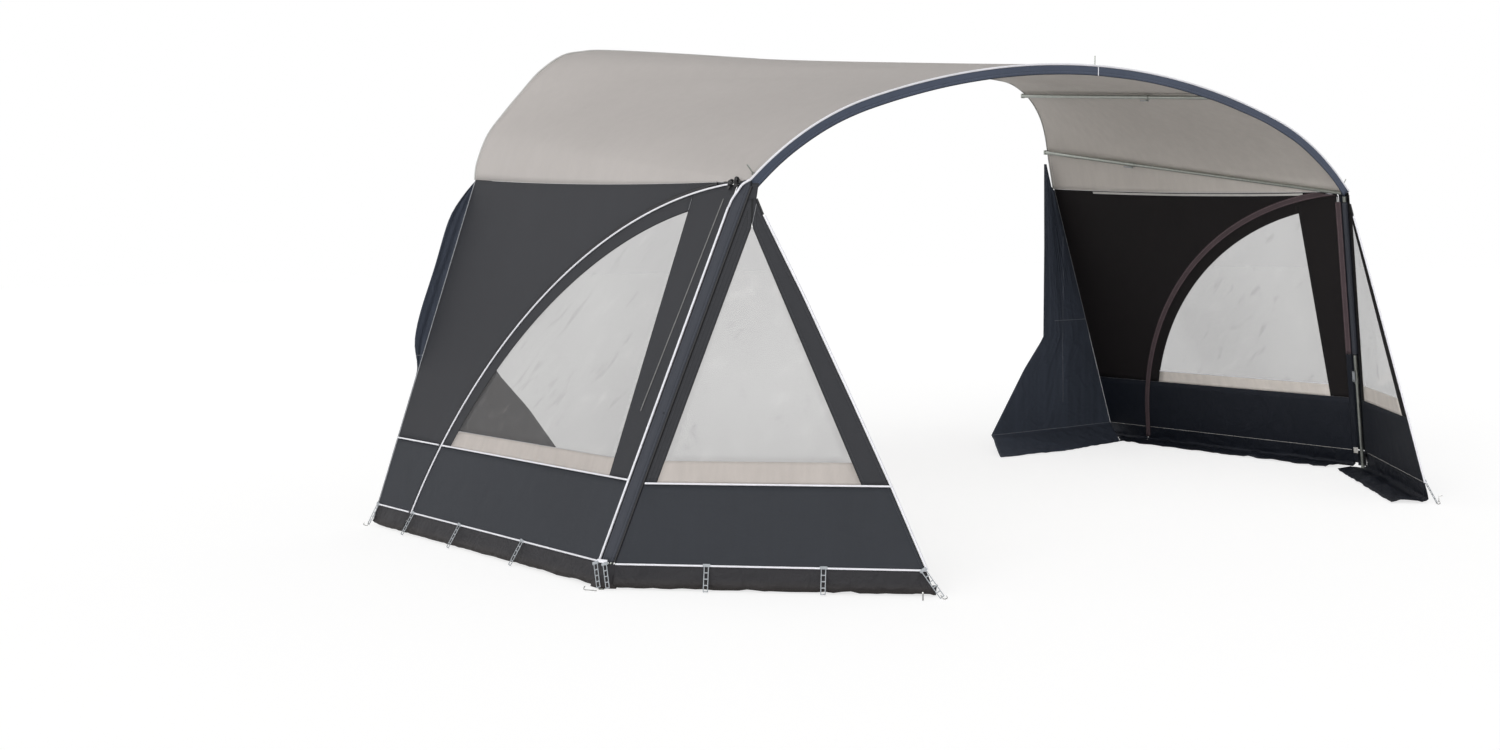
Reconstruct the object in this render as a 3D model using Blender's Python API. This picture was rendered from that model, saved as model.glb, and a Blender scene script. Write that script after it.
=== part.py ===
"""A sun awning with an arched canopy, zipped side walls, storm wings and a telescopic tube frame.

Metres. X is the width, Y runs from the open front to the rail at the back, Z is up.
"""

import math

import bmesh
import bpy
from mathutils import Matrix, Vector

SIDES = {"right": 1, "left": -1}

# The front arch: a flat crown and a tighter haunch on each side, in one upright plane.
APEX_HEIGHT = 2.31
ARCH_HALF_WIDTH = 2.18
ARCH_RISE = 0.60
CROWN_RADIUS = 5.2
HAUNCH_WIDTH = 0.67
ARCH_Y = -2.366

# The line of the rail from its middle down to the seam of the side wall, as shares of its half
# width and of its drop. The two shoulders differ in the photo, so each side has its own.
RAIL_HEIGHT = 2.55
RAIL_DROP = 0.75
RAIL_CURVE_SHARES = {
    1: (
        (0, 0),
        (0.4, 0.0053),
        (0.6667, 0.0173),
        (0.7511, 0.028),
        (0.8084, 0.0507),
        (0.8622, 0.1173),
        (0.9084, 0.2213),
        (0.9436, 0.36),
        (0.9644, 0.5213),
        (0.9778, 0.7067),
        (0.9889, 0.8533),
        (1, 1),
    ),
    -1: (
        (0, 0),
        (0.3556, 0.0053),
        (0.6222, 0.02),
        (0.7022, 0.044),
        (0.7556, 0.084),
        (0.8178, 0.2067),
        (0.8667, 0.3533),
        (0.9227, 0.5333),
        (0.9644, 0.6867),
        (0.9933, 0.88),
        (1, 1),
    ),
}
CURVE_STEPS = 4

# Feet and corners of the right-hand cloth planes. The left-hand side mirrors them.
GROUND_HALF_WIDTH = 2.9
CORNER_TOE_IN = 0.092
CORNER_Y = -2.115
CORNER_SETBACK = 0.011
WING_INWARD = 0.988
WING_FORWARD = 1.015
REAR_FOOT = (GROUND_HALF_WIDTH, 0, 0)
CORNER_FOOT = (GROUND_HALF_WIDTH - CORNER_TOE_IN, CORNER_Y, 0)
CORNER_TOP = (ARCH_HALF_WIDTH, ARCH_Y + CORNER_SETBACK, APEX_HEIGHT - ARCH_RISE)
WING_TIP = (GROUND_HALF_WIDTH - CORNER_TOE_IN - WING_INWARD, CORNER_Y - WING_FORWARD, 0)

# Cloth
CLOTH = 0.003
FOIL = 0.001
PANE_MARGIN = 0.002
GAP = 0.0005
PIPING = 0.005
THIN_PIPING = 0.004
PIPING_STEPS = 2
SEAM_SAG = 0.02
SEAM_GAP = 0.001

# Roof: the shares of the arch and of the rail between which the rafters and the seams run straight.
MID_ARCH_SHARE = 0.431
MID_RAIL_SHARES = {1: 0.725, -1: 0.74}
SEAM_RAIL_SHARE = 0.903
ROOF_KNOT_STEPS = (6, 6, 2)
ROOF_ROWS = 6
VALANCE_HEIGHT = 0.06
VALANCE_STEPS = 36
ARCH_END_TRIM = 0.022
EYELET_RADIUS = 0.0045

# Side wall. A name with _A is a distance ahead of the rear foot, on the ground.
# The zip's circle starts at its foot on the hem and rises to its drop below the roof's seam.
WALL_REAR_MARGIN = 0.0093
ZIP_FOOT_A = 0.3823
ZIP_TOP_DROP = 0.0055
ZIP_RADIUS = 2.1
ZIP_WIDTH = 0.018
ZIP_THICKNESS = 0.002
WINDOW_BORDER = 0.08
WINDOW_TOP_A = 2.02
WINDOW_BOTTOM_A = 1.97
SKIRT_TOP = 0.478
HEM = 0.112
HEM_PIPING_RISE = 0.005
HEM_LIFT = 0.006
DOOR_HINGE_INSET = 0.065
DOOR_LADDER_SHARES = (0.1937, 0.4157, 0.6863)
ARC_STEP = math.radians(3.5)
SEAM_STEPS = 20
SWEEP_STEPS = 60
SEARCH_STEPS = 50

# Storm wing: points as shares of the way from below the corner's top to the tip, and of its height.
WING_OUTER_SHARES = (
    (0.0521, 0.955),
    (0.0906, 0.9123),
    (0.3014, 0.7178),
    (0.5618, 0.4622),
    (0.7652, 0.2579),
    (0.965, 0.0462),
    (1, 0),
)
WING_HINGE_INSET = 0.022
WING_WINDOW_TOP_SHARES = (0.0236, 0.888)
WING_WINDOW_REAR = 0.08
WING_WINDOW_FRONT = 0.12
WING_SKIRT_TOP = 0.45
WING_HEM_PIPING = 0.11
WING_LADDER_SHARES = (0.3247, 0.6707)
WING_FLAP_START = 0.06

# Mud flaps
FLAP_DEPTH = 0.21
FLAP_FLOOR = 0.0025
FLAP_BEND = 0.012
REAR_FLAP_DEPTH = 0.2
REAR_MITRE_SHARE = 1.25
SKIRT_ROWS = 4
REAR_SKIRT_COLUMNS = 4
DOOR_SKIRT_COLUMNS = 10
WING_SKIRT_COLUMNS = 8
ZIP_SKIRT_GAP = 0.003
MITRE_SHARE = 0.381

# Draught panel at the rail: its inner edge as shares of the rail's half width and its own height,
# its shoulder as shares of that half width, and its flap as shares of the half width on the ground
# and of its own depth.
RETURN_DROP = 0.58
RETURN_HEIGHT = RAIL_HEIGHT - RETURN_DROP
RETURN_INNER_SHARES = (
    (0.9556, 1),
    (0.9578, 0.7107),
    (0.9556, 0.3858),
    (0.8711, 0.2792),
    (0.7244, 0.0508),
    (0.7, 0.0061),
)
RETURN_SHOULDER_SHARES = (0.9622, 0.9933)
RETURN_SEAM_DROP = 0.01
RETURN_FLAP_DEPTH = 0.35
RETURN_FLAP_SHARES = ((0.4931, 0.857), (0.6793, 1), (0.8897, 0.714))
RETURN_Y = -0.0062
RETURN_CLEARANCE = 0.03
RETURN_FOLD = 0.014
RETURN_FOLDS = 3.5
RETURN_COLUMNS = 20
RETURN_ROWS = 12

# Peg ladders: rails and rungs, across and down.
LADDER_ACROSS = (-0.015, -0.009, 0.009, 0.015)
LADDER_DOWN = (0, 0.012, 0.036, 0.044, 0.068, 0.076, 0.1, 0.112)
LADDER_THICKNESS = 0.004
LADDER_LEAN = 0.028
TIP_LADDER_LEAN = 0.075
LADDER_FLOOR = 0.003
PEG_RADIUS = 0.003
PEG_HEIGHT = 0.034
PEG_HOOK = 0.018

# Frame tubes
TUBE_SIDES = 12
ARCH_TUBE = 0.014
ARCH_BORE = 0.0129
ARCH_INNER_TUBE = 0.0121
ARCH_INNER_BORE = 0.0112
ARCH_TUBE_INSET = 0.0185
ARCH_TUBE_Y = -2.348
ARCH_CENTRE_HALF = 1.05
ARCH_OVERLAP = 0.15
ARCH_PATH_STEP = 0.09
OUTER_TUBE = 0.0125
OUTER_BORE = 0.0115
INNER_TUBE = 0.0108
INNER_BORE = 0.0096
COLLAR = 0.0145
COLLAR_LENGTH = 0.05
PLUG = 0.04
SLIDE_OVERLAP = 0.35

# Rafters: side of the frame, share of the arch, share of the rail, share of the length at the clamp.
RAFTER_SHARES = {
    "centre": (1, 0, 0, 0.7),
    "mid_right": (1, MID_ARCH_SHARE, MID_RAIL_SHARES[1], 0.7),
    "mid_left": (-1, MID_ARCH_SHARE, MID_RAIL_SHARES[-1], 0.7),
    "side_right": (1, 1, SEAM_RAIL_SHARE, 0.338),
    "side_left": (-1, 1, SEAM_RAIL_SHARE, 0.338),
}
RAFTER_REAR_INSET = 0.028
BRACKET = (0.026, 0.012, 0.03)
SADDLE_RADIUS = 0.0178
SADDLE_BORE = 0.0147
SADDLE_HALF = 0.02
SADDLE_SIDES = 16
SADDLE_OPENING = math.radians(87)
SADDLE_CUT = 0.06

# Corner joints, uprights and feet
LEG_INSET = 0.0165
JOINT_RADIUS = 0.014
LEG_SPIGOT = 0.0108
ARCH_SPIGOT = 0.0105
RAFTER_SPIGOT = 0.009
SPIGOT_LENGTH = 0.05
JOINT_SHOULDER = 0.016
SPIKE_RADIUS = 0.003
SPIKE_LENGTH = 0.07
CORNER_SPIKE_SHIFT = 0.045
LEG_CLAMP_HEIGHT = 0.57
LEG_BOTTOM = 0.005
FOOT_RIM = 0.002
FOOT_HEIGHT = 0.006
SLEEVE_BOTTOM = 0.115
CORNER_PIPING_BOTTOM = 0.105
SLEEVE_DROP = 0.025
SLEEVE_TOP = APEX_HEIGHT - ARCH_RISE - SLEEVE_DROP
POCKET_BOTTOM = 0.73
POCKET_DROP = 0.06
POCKET_TOP = APEX_HEIGHT - ARCH_RISE - POCKET_DROP
POCKET_RADIUS = 0.0165
POCKET_BORE = 0.0133
POCKET_SIDES = 16

# Clamp levers, about their pivot: along the tube, across it and away from it.
LEVER_PIVOT = 0.0215
LEVER_NOSE = 0.005
LEVER_TAIL = 0.062
LEVER_HALF_WIDTH = 0.009
LEVER_HALF_THICKNESS = 0.0035
LEVER_SLOT = 0.0034
LEVER_SLOT_REACH = 0.012
EAR_HALF_LENGTH = 0.005
EAR_HALF_WIDTH = 0.003
EAR_TOP = 0.0035
EAR_ROOT = 0.009
PIN_RADIUS = 0.0022
PIN_BORE = 0.0027

# Zip slider and its puller: half the width, length and thickness
SLIDER_BACK = 0.015
SLIDER_SIZE = (0.007, 0.015, 0.0025)
PULLER_SIZE = (0.004, 0.024, 0.0012)
SLIDER_LIFT = 0.0043
PULLER_SHIFT = 0.028
PULLER_LIFT = 0.0072

WELD = 1e-5
TINY_SHARE = 1e-3

# Colours as seen in the photo, 0 to 255, then roughness, metallic and alpha.
LOOKS = {
    "roof_fabric": ((196, 190, 186), 0.75, 0, 1),
    "wall_fabric": ((71, 73, 77), 0.8, 0, 1),
    "skirt_fabric": ((63, 66, 71), 0.8, 0, 1),
    "navy_fabric": ((72, 80, 96), 0.8, 0, 1),
    "clear_foil": ((214, 218, 222), 0.12, 0, 0.45),
    "white_piping": ((226, 226, 232), 0.5, 0, 1),
    "zip_tape": ((70, 58, 60), 0.7, 0, 1),
    "galvanised_steel": ((150, 154, 150), 0.4, 1, 1),
    "black_plastic": ((28, 28, 30), 0.5, 0, 1),
    "peg_steel": ((150, 150, 152), 0.35, 1, 1),
    "keder": ((190, 190, 188), 0.5, 0, 1),
}


def clear_scene():
    for item in list(bpy.data.objects):
        bpy.data.objects.remove(item, do_unlink=True)


def linear(value):
    share = value / 255
    if share <= 0.04045:
        return share / 12.92
    return ((share + 0.055) / 1.055) ** 2.4


def look(name):
    """The Principled material of this name, made on first use."""
    found = bpy.data.materials.get(name)
    if found:
        return found
    colour, roughness, metallic, alpha = LOOKS[name]
    made = bpy.data.materials.new(name)
    made.use_nodes = True
    shader = made.node_tree.nodes["Principled BSDF"]
    shader.inputs["Base Color"].default_value = [linear(value) for value in colour] + [1]
    shader.inputs["Roughness"].default_value = roughness
    shader.inputs["Metallic"].default_value = metallic
    shader.inputs["Alpha"].default_value = alpha
    made.diffuse_color = [linear(value) for value in colour] + [alpha]
    return made


def add_object(name, mesh, material=None):
    made = bpy.data.objects.new(name, mesh)
    bpy.context.scene.collection.objects.link(made)
    if material:
        mesh.materials.clear()
        mesh.materials.append(look(material))
    return made


def mesh_from(build, name):
    """A mesh filled by a bmesh, with its doubles welded and its faces turned outward."""
    bmesh.ops.remove_doubles(build, verts=build.verts[:], dist=WELD)
    bmesh.ops.recalc_face_normals(build, faces=build.faces[:])
    mesh = bpy.data.meshes.new(name)
    build.to_mesh(mesh)
    build.free()
    return mesh


def thicken(item, thickness):
    solidify = item.modifiers.new("Thickness", "SOLIDIFY")
    solidify.thickness = thickness
    solidify.offset = 0
    solidify.use_even_offset = True
    return item


def boolean(item, other, operation):
    """Joins or cuts with another object, which is kept as a hidden helper."""
    other.hide_render = True
    other.display_type = "WIRE"
    change = item.modifiers.new("Boolean", "BOOLEAN")
    change.operation = operation
    change.solver = "EXACT"
    change.object = other
    return item


def fused(item, *others):
    for other in others:
        boolean(item, other, "UNION")
    return item


def flat_piece(name, plane, outline, thickness, material):
    """A flat closed piece cut to an outline in a cloth plane."""
    build = bmesh.new()
    build.faces.new([build.verts.new(plane.at(a, h)) for a, h in outline])
    return thicken(add_object(name, mesh_from(build, name), material), thickness)


def sheet(name, rows, thickness, material, missing=()):
    """A closed piece over a grid of points. Cells in missing, as (row, column), stay open."""
    build = bmesh.new()
    grid = [[build.verts.new(point) for point in row] for row in rows]
    for j in range(len(grid) - 1):
        for i in range(len(grid[j]) - 1):
            if (j, i) not in missing:
                build.faces.new((grid[j][i], grid[j][i + 1], grid[j + 1][i + 1], grid[j + 1][i]))
    return thicken(add_object(name, mesh_from(build, name), material), thickness)


def rod(name, points, radius, material, roundness=PIPING_STEPS):
    """A closed round bar along a line of points, made from a bevelled curve."""
    curve = bpy.data.curves.new(name, "CURVE")
    curve.dimensions = "3D"
    curve.bevel_depth = radius
    curve.bevel_resolution = roundness
    curve.use_fill_caps = True
    line = curve.splines.new("POLY")
    line.points.add(len(points[1:]))
    for spot, point in zip(line.points, points):
        spot.co = (*point, 1)
    helper = add_object(name + "_line", curve)
    build = bmesh.new()
    build.from_mesh(bpy.data.meshes.new_from_object(helper))
    bpy.data.objects.remove(helper, do_unlink=True)
    return add_object(name, mesh_from(build, name), material)


def basis(origin, along, toward):
    """A matrix whose Z axis runs along the first direction and whose X axis leans to the second."""
    z_axis = Vector(along).normalized()
    x_axis = Vector(toward) - z_axis * Vector(toward).dot(z_axis)
    x_axis.normalize()
    y_axis = z_axis.cross(x_axis)
    columns = Matrix((x_axis, y_axis, z_axis)).transposed()
    return Matrix.Translation(origin) @ columns.to_4x4()


def any_side(direction):
    """A direction clearly across the given one."""
    flat = Vector((0, 0, 1)).cross(direction)
    return flat if flat.length > TINY_SHARE else Vector((1, 0, 0))


def turned(name, start, direction, profile, material, sides=TUBE_SIDES):
    """A turned piece. The profile is a closed loop, or ends on the axis, as (distance, radius)."""
    build = bmesh.new()
    spots = [build.verts.new((radius, 0, distance)) for distance, radius in profile]
    edges = [build.edges.new(pair) for pair in zip(spots, spots[1:])]
    if profile[0][1] and profile[-1][1]:
        edges.append(build.edges.new((spots[-1], spots[0])))
    bmesh.ops.spin(
        build,
        geom=spots + edges,
        axis=(0, 0, 1),
        cent=(0, 0, 0),
        angle=math.tau,
        steps=sides,
        use_merge=True,
    )
    bmesh.ops.transform(
        build, matrix=basis(start, direction, any_side(Vector(direction))), verts=build.verts[:]
    )
    return add_object(name, mesh_from(build, name), material)


def peg(name, start, direction, length, radius, sides=TUBE_SIDES):
    """A plain solid cylinder from a start along a direction."""
    return turned(name, start, direction, [(0, 0), (0, radius), (length, radius), (length, 0)], None, sides)


def block(name, place, low, high, material=None):
    """A box between two corners given in the axes of a placing matrix."""
    build = bmesh.new()
    bmesh.ops.create_cube(build, size=1)
    middle = (Vector(low) + Vector(high)) / 2
    size = Vector(high) - Vector(low)
    bmesh.ops.transform(
        build,
        matrix=place @ Matrix.Translation(middle) @ Matrix.Diagonal((*size, 1)),
        verts=build.verts[:],
    )
    return add_object(name, mesh_from(build, name), material)


def hollow_bar(name, points, radius, bore, material):
    """A tube along a line of points that lies in an upright plane across the depth."""
    build = bmesh.new()
    rings = []
    turns = [math.tau * i / TUBE_SIDES for i in range(TUBE_SIDES)]
    for before, point, after in zip([points[0], *points], points, [*points[1:], points[-1]]):
        place = basis(point, after - before, Vector((0, 1, 0)))
        ring = []
        for size in (radius, bore):
            spots = [place @ Vector((size * math.cos(turn), size * math.sin(turn), 0)) for turn in turns]
            ring.append([build.verts.new(spot) for spot in spots])
        rings.append(ring)
    for i in range(TUBE_SIDES):
        k = (i + 1) % TUBE_SIDES
        for near, far in zip(rings, rings[1:]):
            for wall in (0, 1):
                build.faces.new((near[wall][i], near[wall][k], far[wall][k], far[wall][i]))
        for ring in (rings[0], rings[-1]):
            build.faces.new((ring[0][i], ring[0][k], ring[1][k], ring[1][i]))
    return add_object(name, mesh_from(build, name), material)


CROWN_HALF_WIDTH = ARCH_HALF_WIDTH - HAUNCH_WIDTH
CROWN_ANGLE = math.asin(CROWN_HALF_WIDTH / CROWN_RADIUS)
CROWN_DROP = CROWN_RADIUS * (1 - math.cos(CROWN_ANGLE))
END_ANGLE = 2 * math.atan((ARCH_RISE - CROWN_DROP) / HAUNCH_WIDTH) - CROWN_ANGLE
HAUNCH_RADIUS = HAUNCH_WIDTH / (math.sin(END_ANGLE) - math.sin(CROWN_ANGLE))
CROWN_LENGTH = CROWN_RADIUS * CROWN_ANGLE
ARCH_LENGTH = CROWN_LENGTH + HAUNCH_RADIUS * (END_ANGLE - CROWN_ANGLE)


def arch_slope(length):
    if abs(length) <= CROWN_LENGTH:
        return abs(length) / CROWN_RADIUS
    return CROWN_ANGLE + (abs(length) - CROWN_LENGTH) / HAUNCH_RADIUS


def arch_at(length, inset=0, y=ARCH_Y):
    """The point of the arch at a length from its middle, negative to the left, moved inside."""
    slope = arch_slope(length)
    if abs(length) <= CROWN_LENGTH:
        x = CROWN_RADIUS * math.sin(slope)
        drop = CROWN_RADIUS * (1 - math.cos(slope))
    else:
        x = CROWN_HALF_WIDTH + HAUNCH_RADIUS * (math.sin(slope) - math.sin(CROWN_ANGLE))
        drop = CROWN_DROP + HAUNCH_RADIUS * (math.cos(CROWN_ANGLE) - math.cos(slope))
    side = math.copysign(1, length)
    x -= inset * math.sin(slope)
    return Vector((side * x, y, APEX_HEIGHT - drop - inset * math.cos(slope)))


def steps_between(start, end, count):
    return [start + (end - start) * j / count for j in range(count + 1)]


def smooth(points):
    """A Catmull-Rom curve through the points."""
    ends = [points[0], *points, points[-1]]
    curve = []
    for p, q, r, s in zip(ends, ends[1:], ends[2:], ends[3:]):
        for j in range(CURVE_STEPS):
            t = j / CURVE_STEPS
            bend = (p * 2 - q * 5 + r * 4 - s) * (t * t / 2) + (q * 3 - p - r * 3 + s) * (t**3 / 2)
            curve.append(q + (r - p) * (t / 2) + bend)
    return curve + [points[-1]]


def rail_points(shares):
    return [Vector((RAIL_HALF_WIDTH * x, RAIL_HEIGHT - RAIL_DROP * drop)) for x, drop in shares]


def along(points, share):
    """The point at a share of the length of a line of points, and the direction there."""
    lengths = [(q - p).length for p, q in zip(points, points[1:])]
    left = share * sum(lengths)
    for p, q, length in zip(points, points[1:], lengths):
        if left <= length:
            return p.lerp(q, left / length), (q - p).normalized()
        left -= length
    return points[-1].copy(), (points[-1] - points[-2]).normalized()


def rail_at(side, share, inset=0, y=0):
    """The point of the rail at a share of its half length, moved inside."""
    point, direction = along(RAIL[side], share)
    return Vector((side * (point.x + inset * direction.y), y, point.y - inset * direction.x))


def shrunk(outline):
    """The outline of a pane, a little smaller than the opening it fills."""
    points = [Vector(point) for point in outline]
    middle = sum(points, Vector((0, 0))) / len(points)
    return [point - (point - middle).normalized() * PANE_MARGIN for point in points]


class Plane:
    """A flat cloth plane: a runs ahead on the ground, h runs up the slope, out points outside."""

    def __init__(self, foot, ahead, top, side):
        mirrored = [Vector((side * x, y, z)) for x, y, z in (foot, ahead, top)]
        self.foot = mirrored[0]
        self.ahead = (mirrored[1] - self.foot).normalized()
        rise = mirrored[2] - self.foot
        self.up = (rise - self.ahead * rise.dot(self.ahead)).normalized()
        self.out = self.up.cross(self.ahead) * side

    def at(self, a, h, out=0):
        return self.foot + self.ahead * a + self.up * h + self.out * out

    def ground(self, a, inward, z):
        """A point on the ground at a distance inward from the foot of the plane."""
        level = Vector((self.out.x, self.out.y, 0)).normalized()
        point = self.foot + self.ahead * a - level * inward
        return Vector((point.x, point.y, z))

    def height(self, z):
        """The distance up the slope at a height above the ground."""
        return z / self.up.z


class Edge:
    """A straight edge in a cloth plane, from the ground to its top."""

    def __init__(self, ends):
        (self.foot, _), (top, height) = ends
        self.slope = (top - self.foot) / height
        self.stretch = math.hypot(1, self.slope)

    def at(self, h, inset=0):
        """The edge's point at a height, moved ahead by an inset measured square to the edge."""
        return self.foot + self.slope * h + inset * self.stretch, h


def line_at(points, h):
    """The distance ahead of a falling line of (a, h) points at a height."""
    for (a, b), (c, d) in zip(points, points[1:]):
        if d <= h <= b:
            return a + (c - a) * (b - h) / (b - d)
    return points[-1][0] if h < points[-1][1] else points[0][0]


def corner_line(plane):
    """Both ends of the corner's line as (distance ahead, height up the slope) in a cloth plane."""
    ways = [Vector(spot) - plane.foot for spot in (CORNER_FOOT, CORNER_TOP)]
    return [(way.dot(plane.ahead), way.dot(plane.up)) for way in ways]


def rear_corner(plane):
    """The wall's rear top corner, where its plane meets the end of the rail."""
    height = plane.height(RAIL_HEIGHT - RAIL_DROP)
    return -height * plane.up.y / plane.ahead.y, height


def wing_point(ahead_share, height_share):
    """A point of the wing from shares of the way to its tip and of the height of its corner."""
    top_a, top_h = WING_CORNER[-1]
    tip = (Vector(WING_TIP) - Vector(CORNER_FOOT)).length
    return top_a + (tip - top_a) * ahead_share, top_h * height_share


WALL_RIGHT = Plane(REAR_FOOT, CORNER_FOOT, CORNER_TOP, 1)
WALL_CORNER = corner_line(WALL_RIGHT)
WALL_SEAM = (rear_corner(WALL_RIGHT), WALL_CORNER[-1])
RAIL_HALF_WIDTH = WALL_RIGHT.at(*WALL_SEAM[0]).x
RAIL = {side: smooth(rail_points(shares)) for side, shares in RAIL_CURVE_SHARES.items()}
WING_CORNER = corner_line(Plane(CORNER_FOOT, WING_TIP, CORNER_TOP, 1))
WING_OUTER = [wing_point(*shares) for shares in WING_OUTER_SHARES]
WINDOW_RADIUS = ZIP_RADIUS - WINDOW_BORDER


def zip_at(radius, turn):
    """The (a, h) point of the zip's circle at a turn up from level."""
    return ZIP_CENTRE[0] - radius * math.cos(turn), ZIP_CENTRE[1] + radius * math.sin(turn)


def zip_turn(radius, h):
    return math.asin((h - ZIP_CENTRE[1]) / radius)


def zip_arc(radius, start, end):
    """Points along the zip's circle, with their corners at the same turns for every radius."""
    first = math.floor(start / ARC_STEP)
    last = math.ceil(end / ARC_STEP)
    grid = [Vector(zip_at(radius, ARC_STEP * j)) for j in range(first, last + 1)]
    points = [grid[0].lerp(grid[1], start / ARC_STEP - first), *grid[1:-1]]
    points.append(grid[-1].lerp(grid[-2], last - end / ARC_STEP))
    return [tuple(point) for point in points]


def seam_height(a):
    """Height up the wall of the roof's seam, which sags between its ends."""
    (start, low), (end, high) = WALL_SEAM
    share = (a - start) / (end - start)
    return low + (high - low) * share - SEAM_SAG * 4 * share * (1 - share)


def zip_circle():
    """The centre of the zip's circle, from its foot on the hem and its top below the seam."""
    top, _ = Edge(WALL_CORNER).at(WALL_CORNER[-1][-1], -DOOR_HINGE_INSET)
    height = seam_height(top) - ZIP_TOP_DROP - ZIP_RADIUS
    return ZIP_FOOT_A + math.sqrt(ZIP_RADIUS**2 - (HEM - height) ** 2), height


ZIP_CENTRE = zip_circle()


def crossing(radius, limit):
    """The turn at which the zip's circle first passes a limit given as a function of (a, h)."""
    turns = steps_between(0, math.pi, SWEEP_STEPS)
    passed = [turn for turn in turns if limit(*zip_at(radius, turn)) > 0]
    high = (*passed, math.pi)[0]
    low = high - turns[1]
    for _ in range(SEARCH_STEPS):
        middle = (low + high) / 2
        if limit(*zip_at(radius, middle)) > 0:
            high = middle
        else:
            low = middle
    return low


class Corner:
    """Both cloth planes of a side and the upright that stands inside their meeting line."""

    def __init__(self, side):
        self.side = side
        self.wall = Plane(REAR_FOOT, CORNER_FOOT, CORNER_TOP, side)
        self.wing = Plane(CORNER_FOOT, WING_TIP, CORNER_TOP, side)
        foot = Vector(CORNER_FOOT)
        top = Vector(CORNER_TOP)
        foot.x *= side
        top.x *= side
        self.foot = foot
        self.line = (top - foot).normalized()
        back = self.line * self.wall.ahead.dot(self.line) - self.wall.ahead
        front = self.wing.ahead - self.line * self.wing.ahead.dot(self.line)
        self.inward = (back.normalized() + front.normalized()).normalized()
        self.shift = self.inward * (LEG_INSET / math.sin(back.angle(front) / 2))

    def leg_at(self, z):
        """The point of the upright's axis at a height."""
        start = self.foot + self.shift
        return start + self.line * ((z - start.z) / self.line.z)

    def wall_edge(self, z, inset):
        edge = Edge(WALL_CORNER)
        return self.wall.at(*edge.at(self.wall.height(z), -inset))

    def wing_edge(self, z, inset):
        edge = Edge(WING_CORNER)
        return self.wing.at(*edge.at(self.wing.height(z), inset))


def roof_columns(side):
    """Side and shares of the arch and the rail for each column of half the roof, from the middle."""
    knots = ((0, 0), (MID_ARCH_SHARE, MID_RAIL_SHARES[side]), (1, SEAM_RAIL_SHARE), (1, 1))
    columns = [(side, *knots[0])]
    for (f, g), (p, q), count in zip(knots, knots[1:], ROOF_KNOT_STEPS):
        for share in steps_between(0, 1, count)[1:]:
            columns.append((side, f + (p - f) * share, g + (q - g) * share))
    return columns


def roof_at(side, arch_share, rail_share, depth_share, up):
    front = arch_at(side * arch_share * ARCH_LENGTH, 0, ARCH_Y + PIPING + GAP)
    rear = rail_at(side, rail_share, 0, -PIPING - GAP)
    weight = max(rail_share - SEAM_RAIL_SHARE, 0) / (1 - SEAM_RAIL_SHARE)
    return front.lerp(rear, depth_share) - up * (SEAM_SAG * 4 * depth_share * (1 - depth_share) * weight)


def make_roof(corners):
    columns = [*reversed(roof_columns(-1)[1:]), *roof_columns(1)]
    rows = []
    for share in steps_between(0, 1, ROOF_ROWS):
        rows.append([roof_at(side, f, g, share, corners[side].wall.up) for side, f, g in columns])
    roof = sheet("roof_canopy", rows, CLOTH, "roof_fabric")
    for length in spike_lengths():
        start = spike_start(length)
        cutter = peg("eyelet_cutter", start, spike_direction(length), SPIKE_LENGTH, EYELET_RADIUS)
        boolean(roof, cutter, "DIFFERENCE")
    keder_line = [rail_at(-1, share) for share in steps_between(1, 0, VALANCE_STEPS)][:-1]
    keder_line += [rail_at(1, share) for share in steps_between(0, 1, VALANCE_STEPS)]
    rod("rail_keder", keder_line, PIPING, "keder")


def spike_lengths():
    end = ARCH_LENGTH - CORNER_SPIKE_SHIFT
    return 0, -end, end


def spike_start(length):
    return arch_at(length, ARCH_TUBE_INSET, ARCH_TUBE_Y)


def spike_direction(length):
    slope = arch_slope(length)
    return Vector((math.copysign(math.sin(slope), length), 0, math.cos(slope)))


def joint_at(corner):
    """The point of the upright's axis nearest to the end of the arch."""
    end = arch_at(corner.side * ARCH_LENGTH, ARCH_TUBE_INSET, ARCH_TUBE_Y)
    foot = corner.leg_at(0)
    return foot + corner.line * (end - foot).dot(corner.line)


def make_front(corners):
    end = ARCH_LENGTH - ARCH_END_TRIM
    lengths = steps_between(-end, end, VALANCE_STEPS)
    insets = (PIPING + GAP, VALANCE_HEIGHT)
    sheet("front_valance", [[arch_at(s, inset) for s in lengths] for inset in insets], CLOTH, "navy_fabric")
    rod("arch_piping", [arch_at(s) for s in lengths], PIPING, "white_piping")
    for name, start, stop, radius, bore in arch_tubes(joint_at(corners[1])):
        count = math.ceil((stop - start) / ARCH_PATH_STEP)
        line = [arch_at(s, ARCH_TUBE_INSET, ARCH_TUBE_Y) for s in steps_between(start, stop, count)]
        tube = hollow_bar(name, line, radius, bore, "galvanised_steel")
        if start < 0 < stop:
            foot = spike_start(0) + spike_direction(0) * ARCH_BORE
            fused(tube, peg("apex_spike", foot, spike_direction(0), SPIKE_LENGTH - ARCH_BORE, SPIKE_RADIUS))


def arch_tubes(joint):
    """Name, both ends along the arch, radius and bore of each section of the arch."""
    inner = ARCH_CENTRE_HALF - ARCH_OVERLAP
    tip = arch_at(ARCH_LENGTH, ARCH_TUBE_INSET, ARCH_TUBE_Y)
    back = arch_at(ARCH_LENGTH - SPIGOT_LENGTH, ARCH_TUBE_INSET, ARCH_TUBE_Y) - tip
    end = ARCH_LENGTH - JOINT_SHOULDER - (joint - tip).dot(back.normalized())
    return (
        ("arch_tube_centre", -ARCH_CENTRE_HALF, ARCH_CENTRE_HALF, ARCH_TUBE, ARCH_BORE),
        ("arch_tube_right", inner, end, ARCH_INNER_TUBE, ARCH_INNER_BORE),
        ("arch_tube_left", -end, -inner, ARCH_INNER_TUBE, ARCH_INNER_BORE),
    )


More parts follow.
